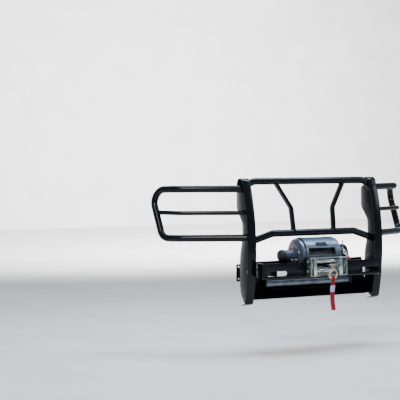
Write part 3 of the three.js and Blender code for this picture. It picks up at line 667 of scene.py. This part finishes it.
cross_tubes()
for side_name, side_sign in SIDES:
    cage(side_name, side_sign)
    brace(side_name, side_sign)

# ------------------------------------------------------------------ tray and lower panels

PANEL_FRONT, PANEL_THICK, PANEL_HALF = -95, 6, 488
PANEL_LOW, PANEL_TOP, PANEL_RAISED = 190, 303, 336
RAISED_FOOT, RAISED_HEAD = 184, 152
ROPE_WINDOW = (-85, 85, 258, 303)
TRAY_LOW, TRAY_HIGH, TRAY_REAR, NOTCH_Y = 250, 256, 165, 17
TRAY_BOLTS = (("upper", 36, 282), ("lower", 46, 238))
ARM_IN, ARM_OUT = 352, 362


def front_panel():
    fold = 10
    low = PANEL_LOW + fold
    face = rounded([(-PANEL_HALF, low), (PANEL_HALF, low), (PANEL_HALF, PANEL_TOP),
                    (RAISED_FOOT, PANEL_TOP), (RAISED_HEAD, PANEL_RAISED),
                    (-RAISED_HEAD, PANEL_RAISED), (-RAISED_FOOT, PANEL_TOP),
                    (-PANEL_HALF, PANEL_TOP)],
                   [0, 0, 5, 10, 10, 10, 10, 5])
    holes = [oval(sign * 384, 229, 165, 34) for sign in (-1, 1)]
    holes.append(box_outline(*ROPE_WINDOW, 5))
    back = PANEL_FRONT + PANEL_THICK
    parts = [plate("Y", PANEL_FRONT, back, face, holes, edge=1.0)]
    outer = arc(PANEL_FRONT + fold, low, fold, pi, 1.5 * pi, 8)
    inner = arc(PANEL_FRONT + fold, low, 4, 1.5 * pi, pi, 8)
    lip = PANEL_FRONT + 44
    section = [(PANEL_FRONT, low + 2)] + outer + [(lip, PANEL_LOW), (lip, PANEL_LOW + 6)]
    section += inner + [(back, low + 2)]
    parts.append(plate("X", -PANEL_HALF, PANEL_HALF, section, edge=0.5))
    for _, sign in SIDES:
        a, b = stretch(sign, PANEL_HALF - 6, PANEL_HALF)
        end = rounded([(PANEL_FRONT + 1, low), (NOTCH_Y, low), (NOTCH_Y, PANEL_TOP),
                       (PANEL_FRONT + 1, PANEL_TOP)], [1, 1, 8, 1])
        parts.append(plate("X", a, b, end, edge=1.0))
    piece("front_panel", joined(*parts), BLACK, replaces="winch_panel")


def tray():
    wide, narrow = INNER - PANEL_THICK - GAP, PANEL_HALF - PANEL_THICK - GAP
    near = PANEL_FRONT + PANEL_THICK + GAP
    step = NOTCH_Y + 3
    floor = [(-narrow, near), (narrow, near), (narrow, step), (wide, step), (wide, TRAY_REAR),
             (-wide, TRAY_REAR), (-wide, step), (-narrow, step)]
    drain = box_outline(-60, 70, 30, 70, 8)
    lip = box_outline(-480, 480, TRAY_LOW + 1, 300, [1, 1, 12, 12])
    parts = [plate("Z", TRAY_LOW, TRAY_HIGH, floor, [drain]),
             plate("Y", TRAY_REAR - 6, TRAY_REAR, lip)]
    piece("tray_plate", joined(*parts), BLACK, replaces="winch_tray")
    for side, sign in SIDES:
        a, b = stretch(sign, INNER - PANEL_THICK, INNER)
        outline = rounded([(31, 190), (148, 190), (178, 220), (178, 280), (128, 330), (21, 330),
                           (17, 310), (23, 204)], 6)
        piece(f"end_plate_{side}", plate("X", a, b, outline), BLACK,
              replaces=f"tray_end_{side}")
        for name, y, z in TRAY_BOLTS:
            face = sign * (WEB_OUT + GAP)
            washer = turned("X", (y, z), eased(*sorted((face, face + sign * 2.5)), 14, 0.5), 32)
            head = hex_head("X", y, z, face + sign * 2.5, face + sign * 10.5, 19)
            inner = sign * wide
            nut = hex_head("X", y, z, inner, inner - sign * 11, 19)
            tip = turned("X", (y, z), eased(*sorted((inner, inner - sign * 14)), 6, 0.8), 24)
            piece(f"bolt_{side}_{name}", joined(washer, head, nut, tip), BRIGHT,
                  replaces=f"tray_bolt_{side}_{name}", crease=25)


def lower_parts():
    half = ARM_IN - GAP
    # The lower tube wears the lighter grey coat, a painted highlight band.
    piece("lower_tube_smooth", turned("X", (148, 137), eased(-half, half, 21, 3)), HIGHLIGHT_GREY,
          replaces="lower_tube")
    arm = rounded([(-40, 249.7), (-40, 206), (100, 198), (116, 180), (116, 106), (190, 106),
                   (300, 146), (415, 146), (415, 249.7)], [4, 6, 12, 10, 8, 20, 20, 0, 0])
    for side, sign in SIDES:
        a, b = stretch(sign, ARM_IN, ARM_OUT)
        c, d = stretch(sign, 330, 450)
        outline = box_outline(c, d, 135, 265, 8)
        holes = [ring(sign * x, z, 7) for x in (344, 432) for z in (155, 245)]
        arm_mesh = plate("X", a, b, arm, edge=1.0)
        face = plate("Y", FRAME_FACE_Y - 10, FRAME_FACE_Y, outline, holes, edge=1.0)
        gusset = rounded([(0, 0), (34, 0), (0, 60)], [0, 3, 3])
        sheet = plate("Z", 193, 199, [(sign * (ARM_OUT + x), 410 - y) for x, y in gusset])
        piece(f"bracket_{side}", joined(arm_mesh, face, sheet), BLACK,
              replaces=f"frame_bracket_{side}")
    skin = [(93, 37), (97, 34), (200, 148), (200, 176), (196, 176), (196, 150)]
    sheet = plate("X", -INNER, INNER, rounded(skin, [0, 0, 3, 1, 1, 2]), edge=0.6)
    hem = turned("X", (95, 36), eased(-466, 466, 4.5, 1.5), 28)
    piece("valance", joined(sheet, hem), BLACK, replaces="lower_valance")


front_panel()
tray()
lower_parts()

# ------------------------------------------------------------------ winch

AXIS = (45, 344)
SUPPORT_R = 118
SUPPORTS = (("left", -157, -130, -1), ("right", 140, 160, 1))
MOTOR_R = 41
MOTOR_LEFT, MOTOR_RIGHT = -250, SUPPORTS[0][1] - GAP
RING_PITCH, RING_DEPTH = 10.6, 4.6


def cap_screws(axis_x, away, radius, count, size, phase=0.0):
    """A ring of socket screws on a flat end face at axis_x, standing out along X."""
    profile = [(0, 0), (0, size), (size - 0.4, size), (size, size - 0.6), (size, size * 0.55),
               (size * 0.5, size * 0.5), (size * 0.5, 0)]
    parts = []
    for k in range(count):
        a = phase + 2 * pi * k / count
        centre = (AXIS[0] + radius * cos(a), AXIS[1] + radius * sin(a))
        parts.append(turned("X", centre, [(axis_x + away * x, r) for x, r in profile], 20))
    return parts


def motor():
    profile = [(MOTOR_LEFT, 0), (MOTOR_LEFT, MOTOR_R)]
    x = MOTOR_LEFT + 8
    while x < MOTOR_RIGHT - 8:
        profile += [(x - 2.8, MOTOR_R), (x - 2.1, MOTOR_R - RING_DEPTH),
                    (x + 2.1, MOTOR_R - RING_DEPTH), (x + 2.8, MOTOR_R)]
        x += RING_PITCH
    profile += [(MOTOR_RIGHT, MOTOR_R), (MOTOR_RIGHT, 0)]
    piece("motor_body", turned("X", AXIS, profile, 72), SILVER, replaces="motor_case")
    cap = [(-293, 0), (-293, 20), (-291.5, 22), (-291.5, 29), (-293, 30), (-287, 38), (-279, 40),
           (-277, 43.2), (-276, 44), (-268, 44), (-267.5, 43), (-266.5, 43), (-266, 44),
           (-264, 43), (-262, 41), (-250.3, 41), (-250.3, 0)]
    screws = cap_screws(-289, -1, 33, 2, 4, radians(35))
    piece("motor_end_cap", joined(turned("X", AXIS, cap, 72), *screws), PLASTIC,
          replaces="motor_cap")
    for name, low, high in (("a", -219, -192), ("b", -187, -160)):
        block = plate("Y", 2, 24, box_outline(low, high, 303, 321, 3))
        middle = (low + high) / 2
        stud = turned("Y", (middle, 312), eased(-9, 3, 4, 0.8), 24)
        nut = hex_head("Y", middle, 312, -3, 2, 12)
        piece(f"terminal_{name}", joined(block, stud, nut), BRIGHT,
              replaces=f"motor_terminal_{name}", crease=25)
    boot = [(377, 0), (377, 11), (381, 10.6), (384, 8.4), (394, 7.6), (398, 6), (399, 3), (399, 0)]
    piece("red_boot", turned("Z", (-181, AXIS[0]), boot, 32), RED_CAP, replaces="terminal_boot")


def supports():
    foot = TRAY_HIGH + GAP - AXIS[1]
    low = asin(foot / SUPPORT_R)
    outline = arc(*AXIS, SUPPORT_R, low, pi - low, 72)
    for side, start, end, away in SUPPORTS:
        disc = plate("X", start, end, outline, [ring(*AXIS, 18.3, 48)], edge=2.2)
        face = start if away < 0 else end
        screws = cap_screws(face, away, 92, 6, 5, radians(30))
        lip = turned("X", AXIS, [(face, 62), (face + away * 3, 60), (face + away * 3, 50),
                                 (face, 48)], 64)
        piece(f"support_{side}", joined(disc, lip, *screws), SILVER,
              replaces=f"drum_support_{side}")
    rod = eased(SUPPORTS[0][2] + GAP, SUPPORTS[1][1] - GAP, 7, 1)
    for name, z in (("lower", 292), ("upper", 420)):
        piece(f"rod_{name}", turned("X", (AXIS[0] + 78, z), rod, 28), ZINC,
              replaces=f"tie_rod_{name}")


COVER_LEFT, COVER_RIGHT = -126, 136
COVER_OUT, COVER_IN = 126, 122.5
COVER_WINDOW = (-116, 110, 344, 400)


def on_cover(x, angle, radius=COVER_OUT):
    return (x, AXIS[0] - radius * cos(angle), AXIS[1] + radius * sin(angle))


def cover():
    dip = 0.05
    spans, across = 96, 52
    verts = []
    for radius in (COVER_OUT, COVER_IN):
        for i in range(across + 1):
            x = COVER_LEFT + (COVER_RIGHT - COVER_LEFT) * i / across
            for k in range(spans + 1):
                verts.append(on_cover(x, -dip + (pi + 2 * dip) * k / spans, radius))
    shell = mesh_of(verts, shell_faces(across + 1, spans + 1))
    window = box_outline(*COVER_WINDOW, 12, 8)
    cutter = bpy.data.objects.new("cutter", plate("Y", -120, -20, window, edge=0.1))
    bpy.context.scene.collection.objects.link(cutter)
    cut = evaluated(shell, ("BOOLEAN", {"operation": "DIFFERENCE", "object": cutter,
                                        "solver": "EXACT"}))
    bpy.data.objects.remove(cutter)
    path = []
    for i, (x, z) in enumerate(window):
        nx, nz = window[(i + 1) % len(window)]
        for k in range(4):
            t = k / 4
            angle = asin((z + (nz - z) * t - AXIS[1]) / COVER_OUT)
            path.append(on_cover(x + (nx - x) * t, angle, COVER_OUT - 1.2))
    edge = swept(path, circle(2.2, 10), closed=True)
    beads = []
    for x in (COVER_LEFT, COVER_RIGHT):
        hoop = [on_cover(x, -dip + (pi + 2 * dip) * k / 80, COVER_OUT - 1.8)
                for k in range(81)]
        beads.append(swept(hoop, circle(2.4, 10), side=(1, 0, 0)))
    piece("drum_cover", joined(cut, edge, *beads), SILVER, replaces="winch_cover")


def cover_badge():
    """A small blank plate with a rivet at each end."""
    low, high = 0.58, 0.82
    left, right = -44, 52
    steps = 14
    verts = []
    for radius in (COVER_OUT + 0.3, COVER_OUT + 1.6):
        for k in range(steps + 1):
            angle = low + (high - low) * k / steps
            pull = 4 * (abs(k / steps - 0.5) * 2) ** 8
            for x in (left + pull, right - pull):
                verts.append(on_cover(x, angle, radius))
    piece("blank_plate", mesh_of(verts, shell_faces(steps + 1, 2)), NAMEPLATE,
          replaces="cover_plate")
    middle = (low + high) / 2
    for name, x in (("left", left + 7), ("right", right - 7)):
        inner = Vector(on_cover(x, middle, COVER_OUT + 1.2))
        outer = Vector(on_cover(x, middle, COVER_OUT + 2.6))
        piece(f"rivet_{name}", swept([inner, (inner + outer) / 2, outer], circle(2.6, 16),
                                     scale=lambda t: 1 - 0.45 * t), BRIGHT)


TURN_R = 4.75
WINDING_R = 57


def strand_section(radius, strands=6, per=5):
    """Outline of a laid rope: round lobes side by side on a circle."""
    outline = []
    for s in range(strands):
        for k in range(per):
            a = 2 * pi * (s + k / per) / strands
            lobe = abs(sin(pi * k / per))
            outline.append(((radius * (0.82 + 0.18 * lobe)) * cos(a),
                            (radius * (0.82 + 0.18 * lobe)) * sin(a)))
    return outline


LAY = 2 * pi / 60


def drum():
    left, right = -122, 132
    body = [(-151, 0), (-151, 18), (left, 18), (left, 74), (left + 1.5, 76), (left + 4.5, 76),
            (left + 6, 74), (left + 6, 32), (right - 6, 32), (right - 6, 74), (right - 4.5, 76),
            (right - 1.5, 76), (right, 74), (right, 18), (154, 18), (154, 0)]
    piece("rope_drum", turned("X", AXIS, body, 72), SILVER, body="drum", replaces="drum")
    first, last = left + 6 + TURN_R, right - 6 - TURN_R
    layer = WINDING_R - TURN_R
    turns = 24
    path = []
    per_turn = 44
    for k in range(turns * per_turn + 1):
        a = 2 * pi * k / per_turn
        x = first + (last - first) * k / (turns * per_turn)
        drift = 0.5 * sin(a * 0.37) + 0.35 * sin(a * 1.31)
        path.append((x + drift, AXIS[0] + layer * sin(a), AXIS[1] - layer * cos(a)))
    rope = swept(path, strand_section(TURN_R), side=(1, 0, 0), twist=LAY)
    core = turned("X", AXIS, [(left + 6.2, 33), (left + 6.2, 50), (right - 6.2, 50),
                              (right - 6.2, 33)], 48)
    piece("wound_rope", joined(rope, core), ROPE, body="drum", replaces="rope_winding", crease=60)


GEAR_R = 70


def gearbox():
    body = [(160.3, 0), (160.3, 68.5), (161.8, GEAR_R), (180, GEAR_R), (182, 69), (185, 65),
            (206, 65), (207, 64), (209, 64), (210, 65), (228, 65), (231, 69), (244, 69),
            (246, 68), (250, 64), (250, 0)]
    screws = cap_screws(250, 1, 58, 8, 3.4)
    piece("gear_housing", joined(turned("X", AXIS, body, 72), *screws), BLACK,
          replaces="gearbox")
    cap = [(250.3, 0), (250.3, 52), (254, 52), (256, 51), (260, 50), (265, 42), (265, 14),
           (263, 12), (263, 0)]
    piece("gear_cap", turned("X", AXIS, cap, 64), PLASTIC, replaces="gearbox_cap")


def clutch():
    x, z, face = 207, 358, AXIS[0] - GEAR_R - GAP
    hub = turned("Y", (x, z), [(face, 0), (face, 15.5), (face - 1.5, 17), (face - 12, 17),
                               (face - 14, 15.5), (face - 16, 9), (face - 16, 0)], 48)
    arm = rounded([(x - 15, z + 6), (x + 13, z + 10), (x + 45, z - 38), (x + 27, z - 50)], 5)
    lever = plate("Y", face - 14, face - 4, arm, edge=1.6)
    piece("lever", joined(hub, lever), BRIGHT, body="clutch", replaces="clutch_lever", crease=28)
    tip = rounded([(x + 26.6, z - 50.4), (x + 44.6, z - 38.5), (x + 50, z - 46), (x + 50, z - 56),
                   (x + 42, z - 61), (x + 34, z - 58)], 4)
    piece("lever_grip", plate("Y", face - 17, face - 1, tip, edge=3), RED_CAP, body="clutch",
          replaces="clutch_grip", crease=50)
    pin_x, pin_y = 205, -12
    boss = AXIS[1] + sqrt(GEAR_R ** 2 - (AXIS[0] - pin_y) ** 2)
    profile = [(boss + 3, 0), (boss + 3, 3.2), (boss + 4, 5.6), (boss + 5, 6), (boss + 11, 6),
               (boss + 12, 5.4), (boss + 12.4, 3.2), (430.5, 3.2)]
    profile += arc(438, 0, 8, pi - 0.42, 0, 16)
    piece("pull_pin", turned("Z", (pin_x, pin_y), profile, 36), BRIGHT, body="clutch_pin",
          replaces="clutch_pin", crease=50)
    guide = turned("Z", (pin_x, pin_y), [(boss - 12, 9.5), (boss + 2.4, 9.5), (boss + 2.7, 9),
                                         (boss + 2.7, 4), (boss - 12, 4), (boss - 12, 9.5)], 32)
    piece("pin_guide", guide, ZINC)


motor()
supports()
cover()
cover_badge()
drum()
gearbox()
clutch()

# ------------------------------------------------------------------ roller fairlead

FAIR_HALF, FAIR_LOW, FAIR_HIGH = 150, 205, 334
FAIR_FRONT, FAIR_BACK = -165, PANEL_FRONT - GAP
FLAT_Y, FLAT_Z = -117, {"bottom": 239, "top": 307}
STAND_X, STAND_Y = 106, -148
FAIR_WALL = 6
FLAT_R, STAND_R, ROLLER_BORE = 14, 15, 6.4
FAIR_BOLT = (127, 270)
SIDE_SLOT = (-145, 270, 30, 12)


def pin_profile(low, high):
    """A roller pin through walls whose outer faces are at low and high: head, shank, nut."""
    return [(low - 5, 0), (low - 5, 8), (low - 4, 9), (low - 1, 9), (low - GAP, 8.6),
            (low - GAP, 6), (high + GAP, 6), (high + GAP, 9), (high + 3, 9), (high + 4, 8),
            (high + 4, 0)]


def fairlead():
    back = box_outline(-FAIR_HALF, FAIR_HALF, FAIR_LOW, FAIR_HIGH, 3)
    opening = box_outline(*ROPE_WINDOW, 6)
    parts = [plate("Y", FAIR_BACK - FAIR_WALL, FAIR_BACK, back, [opening])]
    shelf = rounded([
        (-FAIR_HALF, FAIR_BACK), (-FAIR_HALF, FAIR_FRONT), (-84, FAIR_FRONT), (-84, -139),
        (84, -139), (84, FAIR_FRONT), (FAIR_HALF, FAIR_FRONT), (FAIR_HALF, FAIR_BACK)],
        [1, 10, 6, 8, 8, 6, 10, 1])
    for low in (FAIR_LOW, FAIR_HIGH - FAIR_WALL):
        parts.append(plate("Z", low, low + FAIR_WALL, shelf))
    cheek = rounded([(FAIR_BACK, FAIR_LOW), (FAIR_FRONT, FAIR_LOW), (FAIR_FRONT, FAIR_HIGH),
                     (FAIR_BACK, FAIR_HIGH)], [1, 8, 8, 1])
    for _, sign in SIDES:
        a, b = stretch(sign, FAIR_HALF - FAIR_WALL, FAIR_HALF)
        parts.append(plate("X", a, b, cheek, [oval(*SIDE_SLOT)]))
    piece("fairlead_body", joined(*parts), ZINC, replaces="fairlead_frame")
    ends = FAIR_WALL + 1
    half = FAIR_HALF - ends
    for name, z in FLAT_Z.items():
        roller = turned("X", (FLAT_Y, z), eased(-half, half, FLAT_R, 2.2, ROLLER_BORE))
        piece(f"roller_{name}_ground", roller, ROLLER_ACROSS,
              body=f"roller_{name}", replaces=f"roller_{name}")
        pin = turned("X", (FLAT_Y, z), pin_profile(-FAIR_HALF, FAIR_HALF), 32)
        piece(f"pin_{name}", pin, ZINC, replaces=f"roller_pin_{name}")
    for side, sign in SIDES:
        centre = (sign * STAND_X, STAND_Y)
        roller = turned("Z", centre, eased(FAIR_LOW + ends, FAIR_HIGH - ends, STAND_R, 2.2,
                                           ROLLER_BORE))
        piece(f"roller_{side}_ground", roller, ROLLER_UPRIGHT,
              body=f"roller_{side}", replaces=f"roller_{side}")
        pin = turned("Z", centre, pin_profile(FAIR_LOW, FAIR_HIGH), 32)
        piece(f"pin_{side}", pin, ZINC, replaces=f"roller_pin_{side}")
        x, z = sign * FAIR_BOLT[0], FAIR_BOLT[1]
        face = FAIR_BACK - FAIR_WALL - GAP
        rear = PANEL_FRONT + PANEL_THICK + GAP
        head = hex_head("Y", x, z, face - 8, face - 1.8, 18)
        washer = turned("Y", (x, z), eased(face - 2, face, 13, 0.5), 32)
        nut = hex_head("Y", x, z, rear, rear + 10, 18)
        piece(f"fair_bolt_{side}", joined(head, washer, nut), BRIGHT,
              replaces=f"fairlead_bolt_{side}", crease=25)


fairlead()

# ------------------------------------------------------------------ rope end and hook

HOOK_X = 15
EYE_R, CLEVIS_HALF = 10.8, 12.5
PIVOT_Y, PIVOT_Z = -190, 278
FERRULE_END = -148
LATCH_X, LATCH_Z = 30, 250


def rope_lead():
    reach = AXIS[0] - FERRULE_END
    drop = AXIS[1] - PIVOT_Z
    clear = WINDING_R + TURN_R + 0.6
    distance = hypot(reach, drop)
    slope = atan2(drop, reach) - asin(clear / distance)
    length = sqrt(distance ** 2 - clear ** 2)
    far = Vector((HOOK_X - 4, FERRULE_END + length * cos(slope),
                  PIVOT_Z + length * sin(slope)))
    near = Vector((HOOK_X, FERRULE_END + GAP, PIVOT_Z))
    points = [far.lerp(near, k / 60) for k in range(61)]
    mesh = swept(points, strand_section(TURN_R), side=(1, 0, 0), twist=LAY)
    rope = piece("rope_run", mesh, ROPE, replaces="rope_lead", crease=60)


def rope_eye():
    sleeve = [(-176.5, 0), (-176.5, 5), (-175, 7.6), (-171, 9), (-154, 9), (-150, 8),
              (-148, 5.5), (-148, 0)]
    ferrule = turned("Y", (HOOK_X, PIVOT_Z), sleeve, 36)
    grooves = [swept([(x, y, z) for x, z in ring(HOOK_X, PIVOT_Z, 9.05, 40)],
                     circle(0.8, 6), closed=True) for y in (-168, -162, -156)]
    around = arc(PIVOT_Y, PIVOT_Z, EYE_R, radians(28), radians(332), 60)
    path = [(HOOK_X, y, z) for y, z in around]
    loop = swept(path, strand_section(3.1, 6, 4), side=(1, 0, 0), twist=LAY * 1.4)
    thimble = turned("X", (PIVOT_Y, PIVOT_Z), [(HOOK_X - 5, 7.6), (HOOK_X - 5, 10.5),
                                               (HOOK_X - 3.6, 9), (HOOK_X + 3.6, 9),
                                               (HOOK_X + 5, 10.5), (HOOK_X + 5, 7.6),
                                               (HOOK_X - 5, 7.6)], 40)
    piece("ferrule", joined(ferrule, *grooves, thimble), ZINC, replaces="rope_eye")
    piece("eye_rope", loop, ROPE, crease=60)


HOOK_OUTER = [(8, 262), (4, 250), (-10, 240), (-19, 224), (-20, 208), (-13, 192), (0, 183),
              (15, 181), (30, 183), (43, 191), (51, 204), (54, 219), (52, 231)]
HOOK_INNER = [(46, 232), (43, 222), (39, 210), (31, 201), (22, 198), (8, 198), (0, 203),
              (-3, 213), (0, 225), (8, 234), (19, 241), (24, 250), (22, 262)]


def forged_hook():
    spans, around = 64, 24
    outer = catmull(HOOK_OUTER, spans)
    inner = catmull(HOOK_INNER[::-1], spans)
    verts = []
    for i, (o, n) in enumerate(zip(outer, inner)):
        t = i / spans
        deep = 8.0 - 2.6 * max(0.0, t - 0.72) / 0.28
        middle, half = (o + n) / 2, (o - n) / 2
        for k in range(around):
            a = 2 * pi * k / around
            c, s = cos(a), sin(a)
            u = copysign(abs(c) ** 0.8, c)
            v = copysign(abs(s) ** 0.8, s)
            point = middle + half * u
            verts.append((point.x, PIVOT_Y + deep * v, point.y))
    body = mesh_of(verts, tube_faces(spans + 1, around))
    foot = box_outline(HOOK_X - CLEVIS_HALF, HOOK_X + CLEVIS_HALF, PIVOT_Y - 8, PIVOT_Y + 8, 4)
    shank = plate("Z", 247, 263, foot, edge=1.5)
    parts = [body, shank]
    top = arc(PIVOT_Y, PIVOT_Z, 12, pi, 0, 16)
    ear = [(PIVOT_Y - 9, 254)] + top + [(PIVOT_Y + 9, 254)]
    for _, sign in SIDES:
        a, b = sorted((HOOK_X + sign * 6.6, HOOK_X + sign * CLEVIS_HALF))
        parts.append(plate("X", a, b, ear, edge=1.4))
    blended = evaluated(joined(*parts), ("REMESH", {"mode": "VOXEL", "voxel_size": 0.0009}),
                        ("SMOOTH", {"factor": 0.6, "iterations": 4}))
    piece("forged_hook", blended, GOLD, body="hook", replaces="hook", crease=80)


def clevis_and_latch():
    left, right = HOOK_X - 20, HOOK_X + 17
    profile = [(left, 0), (left, 7.5), (left + 1.4, 9), (left + 4, 9), (left + 5, 8.4),
               (left + 5, 6.8), (right - 1, 6.8), (right, 5.8), (right, 0)]
    pin = turned("X", (PIVOT_Y, PIVOT_Z), profile, 36)
    x = HOOK_X + 14.6
    split = [(x, PIVOT_Y - 11, PIVOT_Z + 2.2)] + [
        (x, PIVOT_Y + y, PIVOT_Z + 1.2 * cos(y)) for y in (-8, -4, 0, 4, 8)]
    split += [(x, PIVOT_Y + 11.5, PIVOT_Z - 2.5)]
    cotter = swept(split, circle(1.1, 10))
    piece("clevis_bolt", joined(pin, cotter), ZINC, body="hook", replaces="clevis_pin")
    tongue = rounded([(LATCH_X - 1.5, LATCH_Z - 3), (LATCH_X + 2, LATCH_Z + 2), (45.2, 234.6),
                      (42.6, 232.4)], [1, 2, 1.2, 0.6], 3)
    blade = plate("Y", PIVOT_Y - 5, PIVOT_Y + 5, tongue, edge=0.5)
    knuckle = turned("Y", (LATCH_X, LATCH_Z), eased(PIVOT_Y - 6.5, PIVOT_Y + 6.5, 3.6, 0.6), 28)
    coil = []
    for k in range(73):
        a = 2 * pi * 4 * k / 72
        coil.append((LATCH_X + 4.1 * cos(a), PIVOT_Y - 2.6 + 5.2 * k / 72,
                     LATCH_Z + 4.1 * sin(a)))
    spring = swept(coil, circle(0.55, 8))
    piece("latch", joined(blade, knuckle, spring), BRIGHT, body="latch", replaces="hook_latch",
          crease=30)


BOWL_Z = 190
PLY = 2.6
STRAP_END = -39.5
STRAP_HALF, LOOP_HALF = 17, 11
SEWN_LOW, SEWN_HIGH = 137, 155
LABEL_LOW = 92


def strap_drift(z):
    """The hanging webbing wanders a little to the left on its way down."""
    down = max(0.0, 150 - z)
    return -7 * sin(min(down / 185, 1) * pi) ** 1.3 + 2.5 * (down / 190) ** 3


def strap_half(z):
    t = min(max((z - 150) / 24, 0.0), 1.0)
    return STRAP_HALF + (LOOP_HALF - STRAP_HALF) * (t * t * (3 - 2 * t))


def strap_route():
    """(Y, Z) along one ply, round the hook's bowl and down again."""
    off = PLY / 2 + 0.15
    count = 60
    neck = BOWL_Z - 19
    route = [(PIVOT_Y - off, STRAP_END + (neck - STRAP_END) * k / count) for k in range(count)]
    radius = 13.6
    leave = radians(28)
    route += arc(PIVOT_Y, BOWL_Z, radius, -pi / 2 - leave, leave - 2.5 * pi, 48)
    route += [(PIVOT_Y + off, neck - (neck - STRAP_END) * k / count) for k in range(count)]
    return route


def webbing_strip(name, route):
    """The strap's webbing along a (Y, Z) route, its width across X."""
    across = 12
    sides = ([], [])
    for i, (y, z) in enumerate(route):
        py, pz = route[max(i - 1, 0)]
        ny, nz = route[min(i + 1, len(route) - 1)]
        way = Vector((ny - py, nz - pz)).normalized()
        normal = Vector((-way.y, way.x))
        for side, face in zip(sides, (1, -1)):
            for k in range(across + 1):
                u = 2 * k / across - 1
                crown = PLY / 2 * (1 - 0.35 * abs(u) ** 6)
                side.append((HOOK_X + strap_drift(z) + u * strap_half(z),
                             y + face * crown * normal.x, z + face * crown * normal.y))
    mesh = mesh_of(sides[0] + sides[1], shell_faces(len(route), across + 1))
    return piece(name, mesh, WEBBING, body="strap", crease=50)


def wrap(name, low, high, proud, material, grow):
    """A band that lies round both plies of the strap between two heights."""
    count = 14
    levels = [low + (high - low) * k / count for k in range(count + 1)]
    verts = []
    for z in levels:
        half = strap_half(z) + grow
        outline = box_outline(-half, half, -proud, proud, 1.4, 3)
        verts += [(HOOK_X + strap_drift(z) + a, PIVOT_Y + b, z) for a, b in outline]
    faces = tube_faces(count + 1, len(outline))
    return piece(name, mesh_of(verts, faces), material, body="strap", crease=50)


def stitches(name, runs, proud):
    """Rows of short threads on the front and back; runs are ((x, z), (x, z)) pairs."""
    parts = []
    for (ax, az), (bx, bz) in runs:
        length = hypot(bx - ax, bz - az)
        count = max(2, round(length / 3.4))
        for k in range(count):
            t0, t1 = (k + 0.16) / count, (k + 0.84) / count
            for face in (-1, 1):
                points = []
                for t in (t0, t0 * 0.75 + t1 * 0.25, (t0 + t1) / 2, t0 * 0.25 + t1 * 0.75, t1):
                    z = az + (bz - az) * t
                    lift = 0.45 * sin(pi * (t - t0) / (t1 - t0))
                    points.append((HOOK_X + strap_drift(z) + ax + (bx - ax) * t,
                                   PIVOT_Y + face * (proud - 0.1 + lift), z))
                parts.append(swept(points, circle(0.42, 6)))
    return piece(name, joined(*parts), THREAD, body="strap", crease=70)


def strap():
    route = strap_route()
    web = webbing_strip("pull_strap", route)
    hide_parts("strap")
    band = wrap("sewn_band", SEWN_LOW, SEWN_HIGH, PLY + 0.55, SEWN, 0.5)
    label = wrap("blank_tag", LABEL_LOW, SEWN_LOW - 0.5, PLY + 0.45, LABEL, 0.4)
    low, high = SEWN_LOW + 2.5, SEWN_HIGH - 2.5
    corners = [(-14, low), (14, low), (14, high), (-14, high)]
    box = list(zip(corners, corners[1:] + corners[:1])) + [
        (corners[0], corners[2]), (corners[1], corners[3])]
    sewing = stitches("band_stitches", box, PLY + 0.55)
    tag_low, tag_high = LABEL_LOW + 2, SEWN_LOW - 3
    tag = [((-15, tag_low), (-15, tag_high)), ((15, tag_low), (15, tag_high)),
           ((-15, tag_low), (15, tag_low))]
    tag_sewing = stitches("tag_stitches", tag, PLY + 0.45)
    end = [((-15, z), (15, z)) for z in (STRAP_END + 5, STRAP_END + 12)]
    end_sewing = stitches("end_stitches", end, PLY + 0.15)


rope_lead()
rope_eye()
forged_hook()
clevis_and_latch()
strap()

# ------------------------------------------------------------------ floor and light


def area_light(name, where, target, size, power, color=(1, 1, 1), spread=180):
    data = bpy.data.lights.new(name, "AREA")
    data.shape = "RECTANGLE"
    data.size, data.size_y = size
    data.energy = power
    data.color = color
    data.spread = radians(spread)
    lamp = bpy.data.objects.new(name, data)
    lamp.location = where
    lamp.rotation_euler = (Vector(target) - Vector(where)).to_track_quat("-Z", "Y").to_euler()
    bpy.context.scene.collection.objects.link(lamp)


def staged_sheet(name, corners, material):
    mesh = bpy.data.meshes.new(name)
    mesh.from_pydata(corners, [], [(0, 1, 2, 3)])
    mesh.materials.append(material)
    sheet = bpy.data.objects.new(name, mesh)
    bpy.context.scene.collection.objects.link(sheet)


def stage():
    """Pale floor and backdrop, with lights in the row frame, in metres."""
    reach, wall_y, wall_top = 40, 18, 12
    z = (GROUND_Z - FRAME_FACE_Z) / 1000
    pale = floor_paint()
    staged_sheet("floor", [(-reach, -reach, z), (reach, -reach, z), (reach, reach, z),
                           (-reach, reach, z)], pale)
    staged_sheet("backdrop", [(-reach, wall_y, z), (reach, wall_y, z),
                              (reach, wall_y, wall_top), (-reach, wall_y, wall_top)], pale)
    world = bpy.data.worlds.new("studio")
    world.use_nodes = True
    world.node_tree.nodes["Background"].inputs["Color"].default_value = (0.8, 0.88, 1.0, 1)
    world.node_tree.nodes["Background"].inputs["Strength"].default_value = 0.4
    bpy.context.scene.world = world
    middle = (0, -0.3, 0.25)
    area_light("key", (-3.4, -3.6, 3.6), middle, (1.6, 1.2), 230, (1.0, 0.97, 0.93))
    area_light("overhead", (0.3, 0.1, 3.4), middle, (4.2, 0.9), 260, (0.72, 0.86, 1.0))
    area_light("fill", (3.4, -2.8, 2.4), middle, (1.6, 1.6), 40, (0.88, 0.94, 1.0))
    area_light("backdrop_left", (1.0, 5.0, 5.5), (4.5, 16, 0.0), (3, 3), 1600, spread=125)
    area_light("backdrop_right", (6.5, 5.0, 5.5), (9.0, 16, 0.0), (3, 3), 2900, spread=140)


stage()
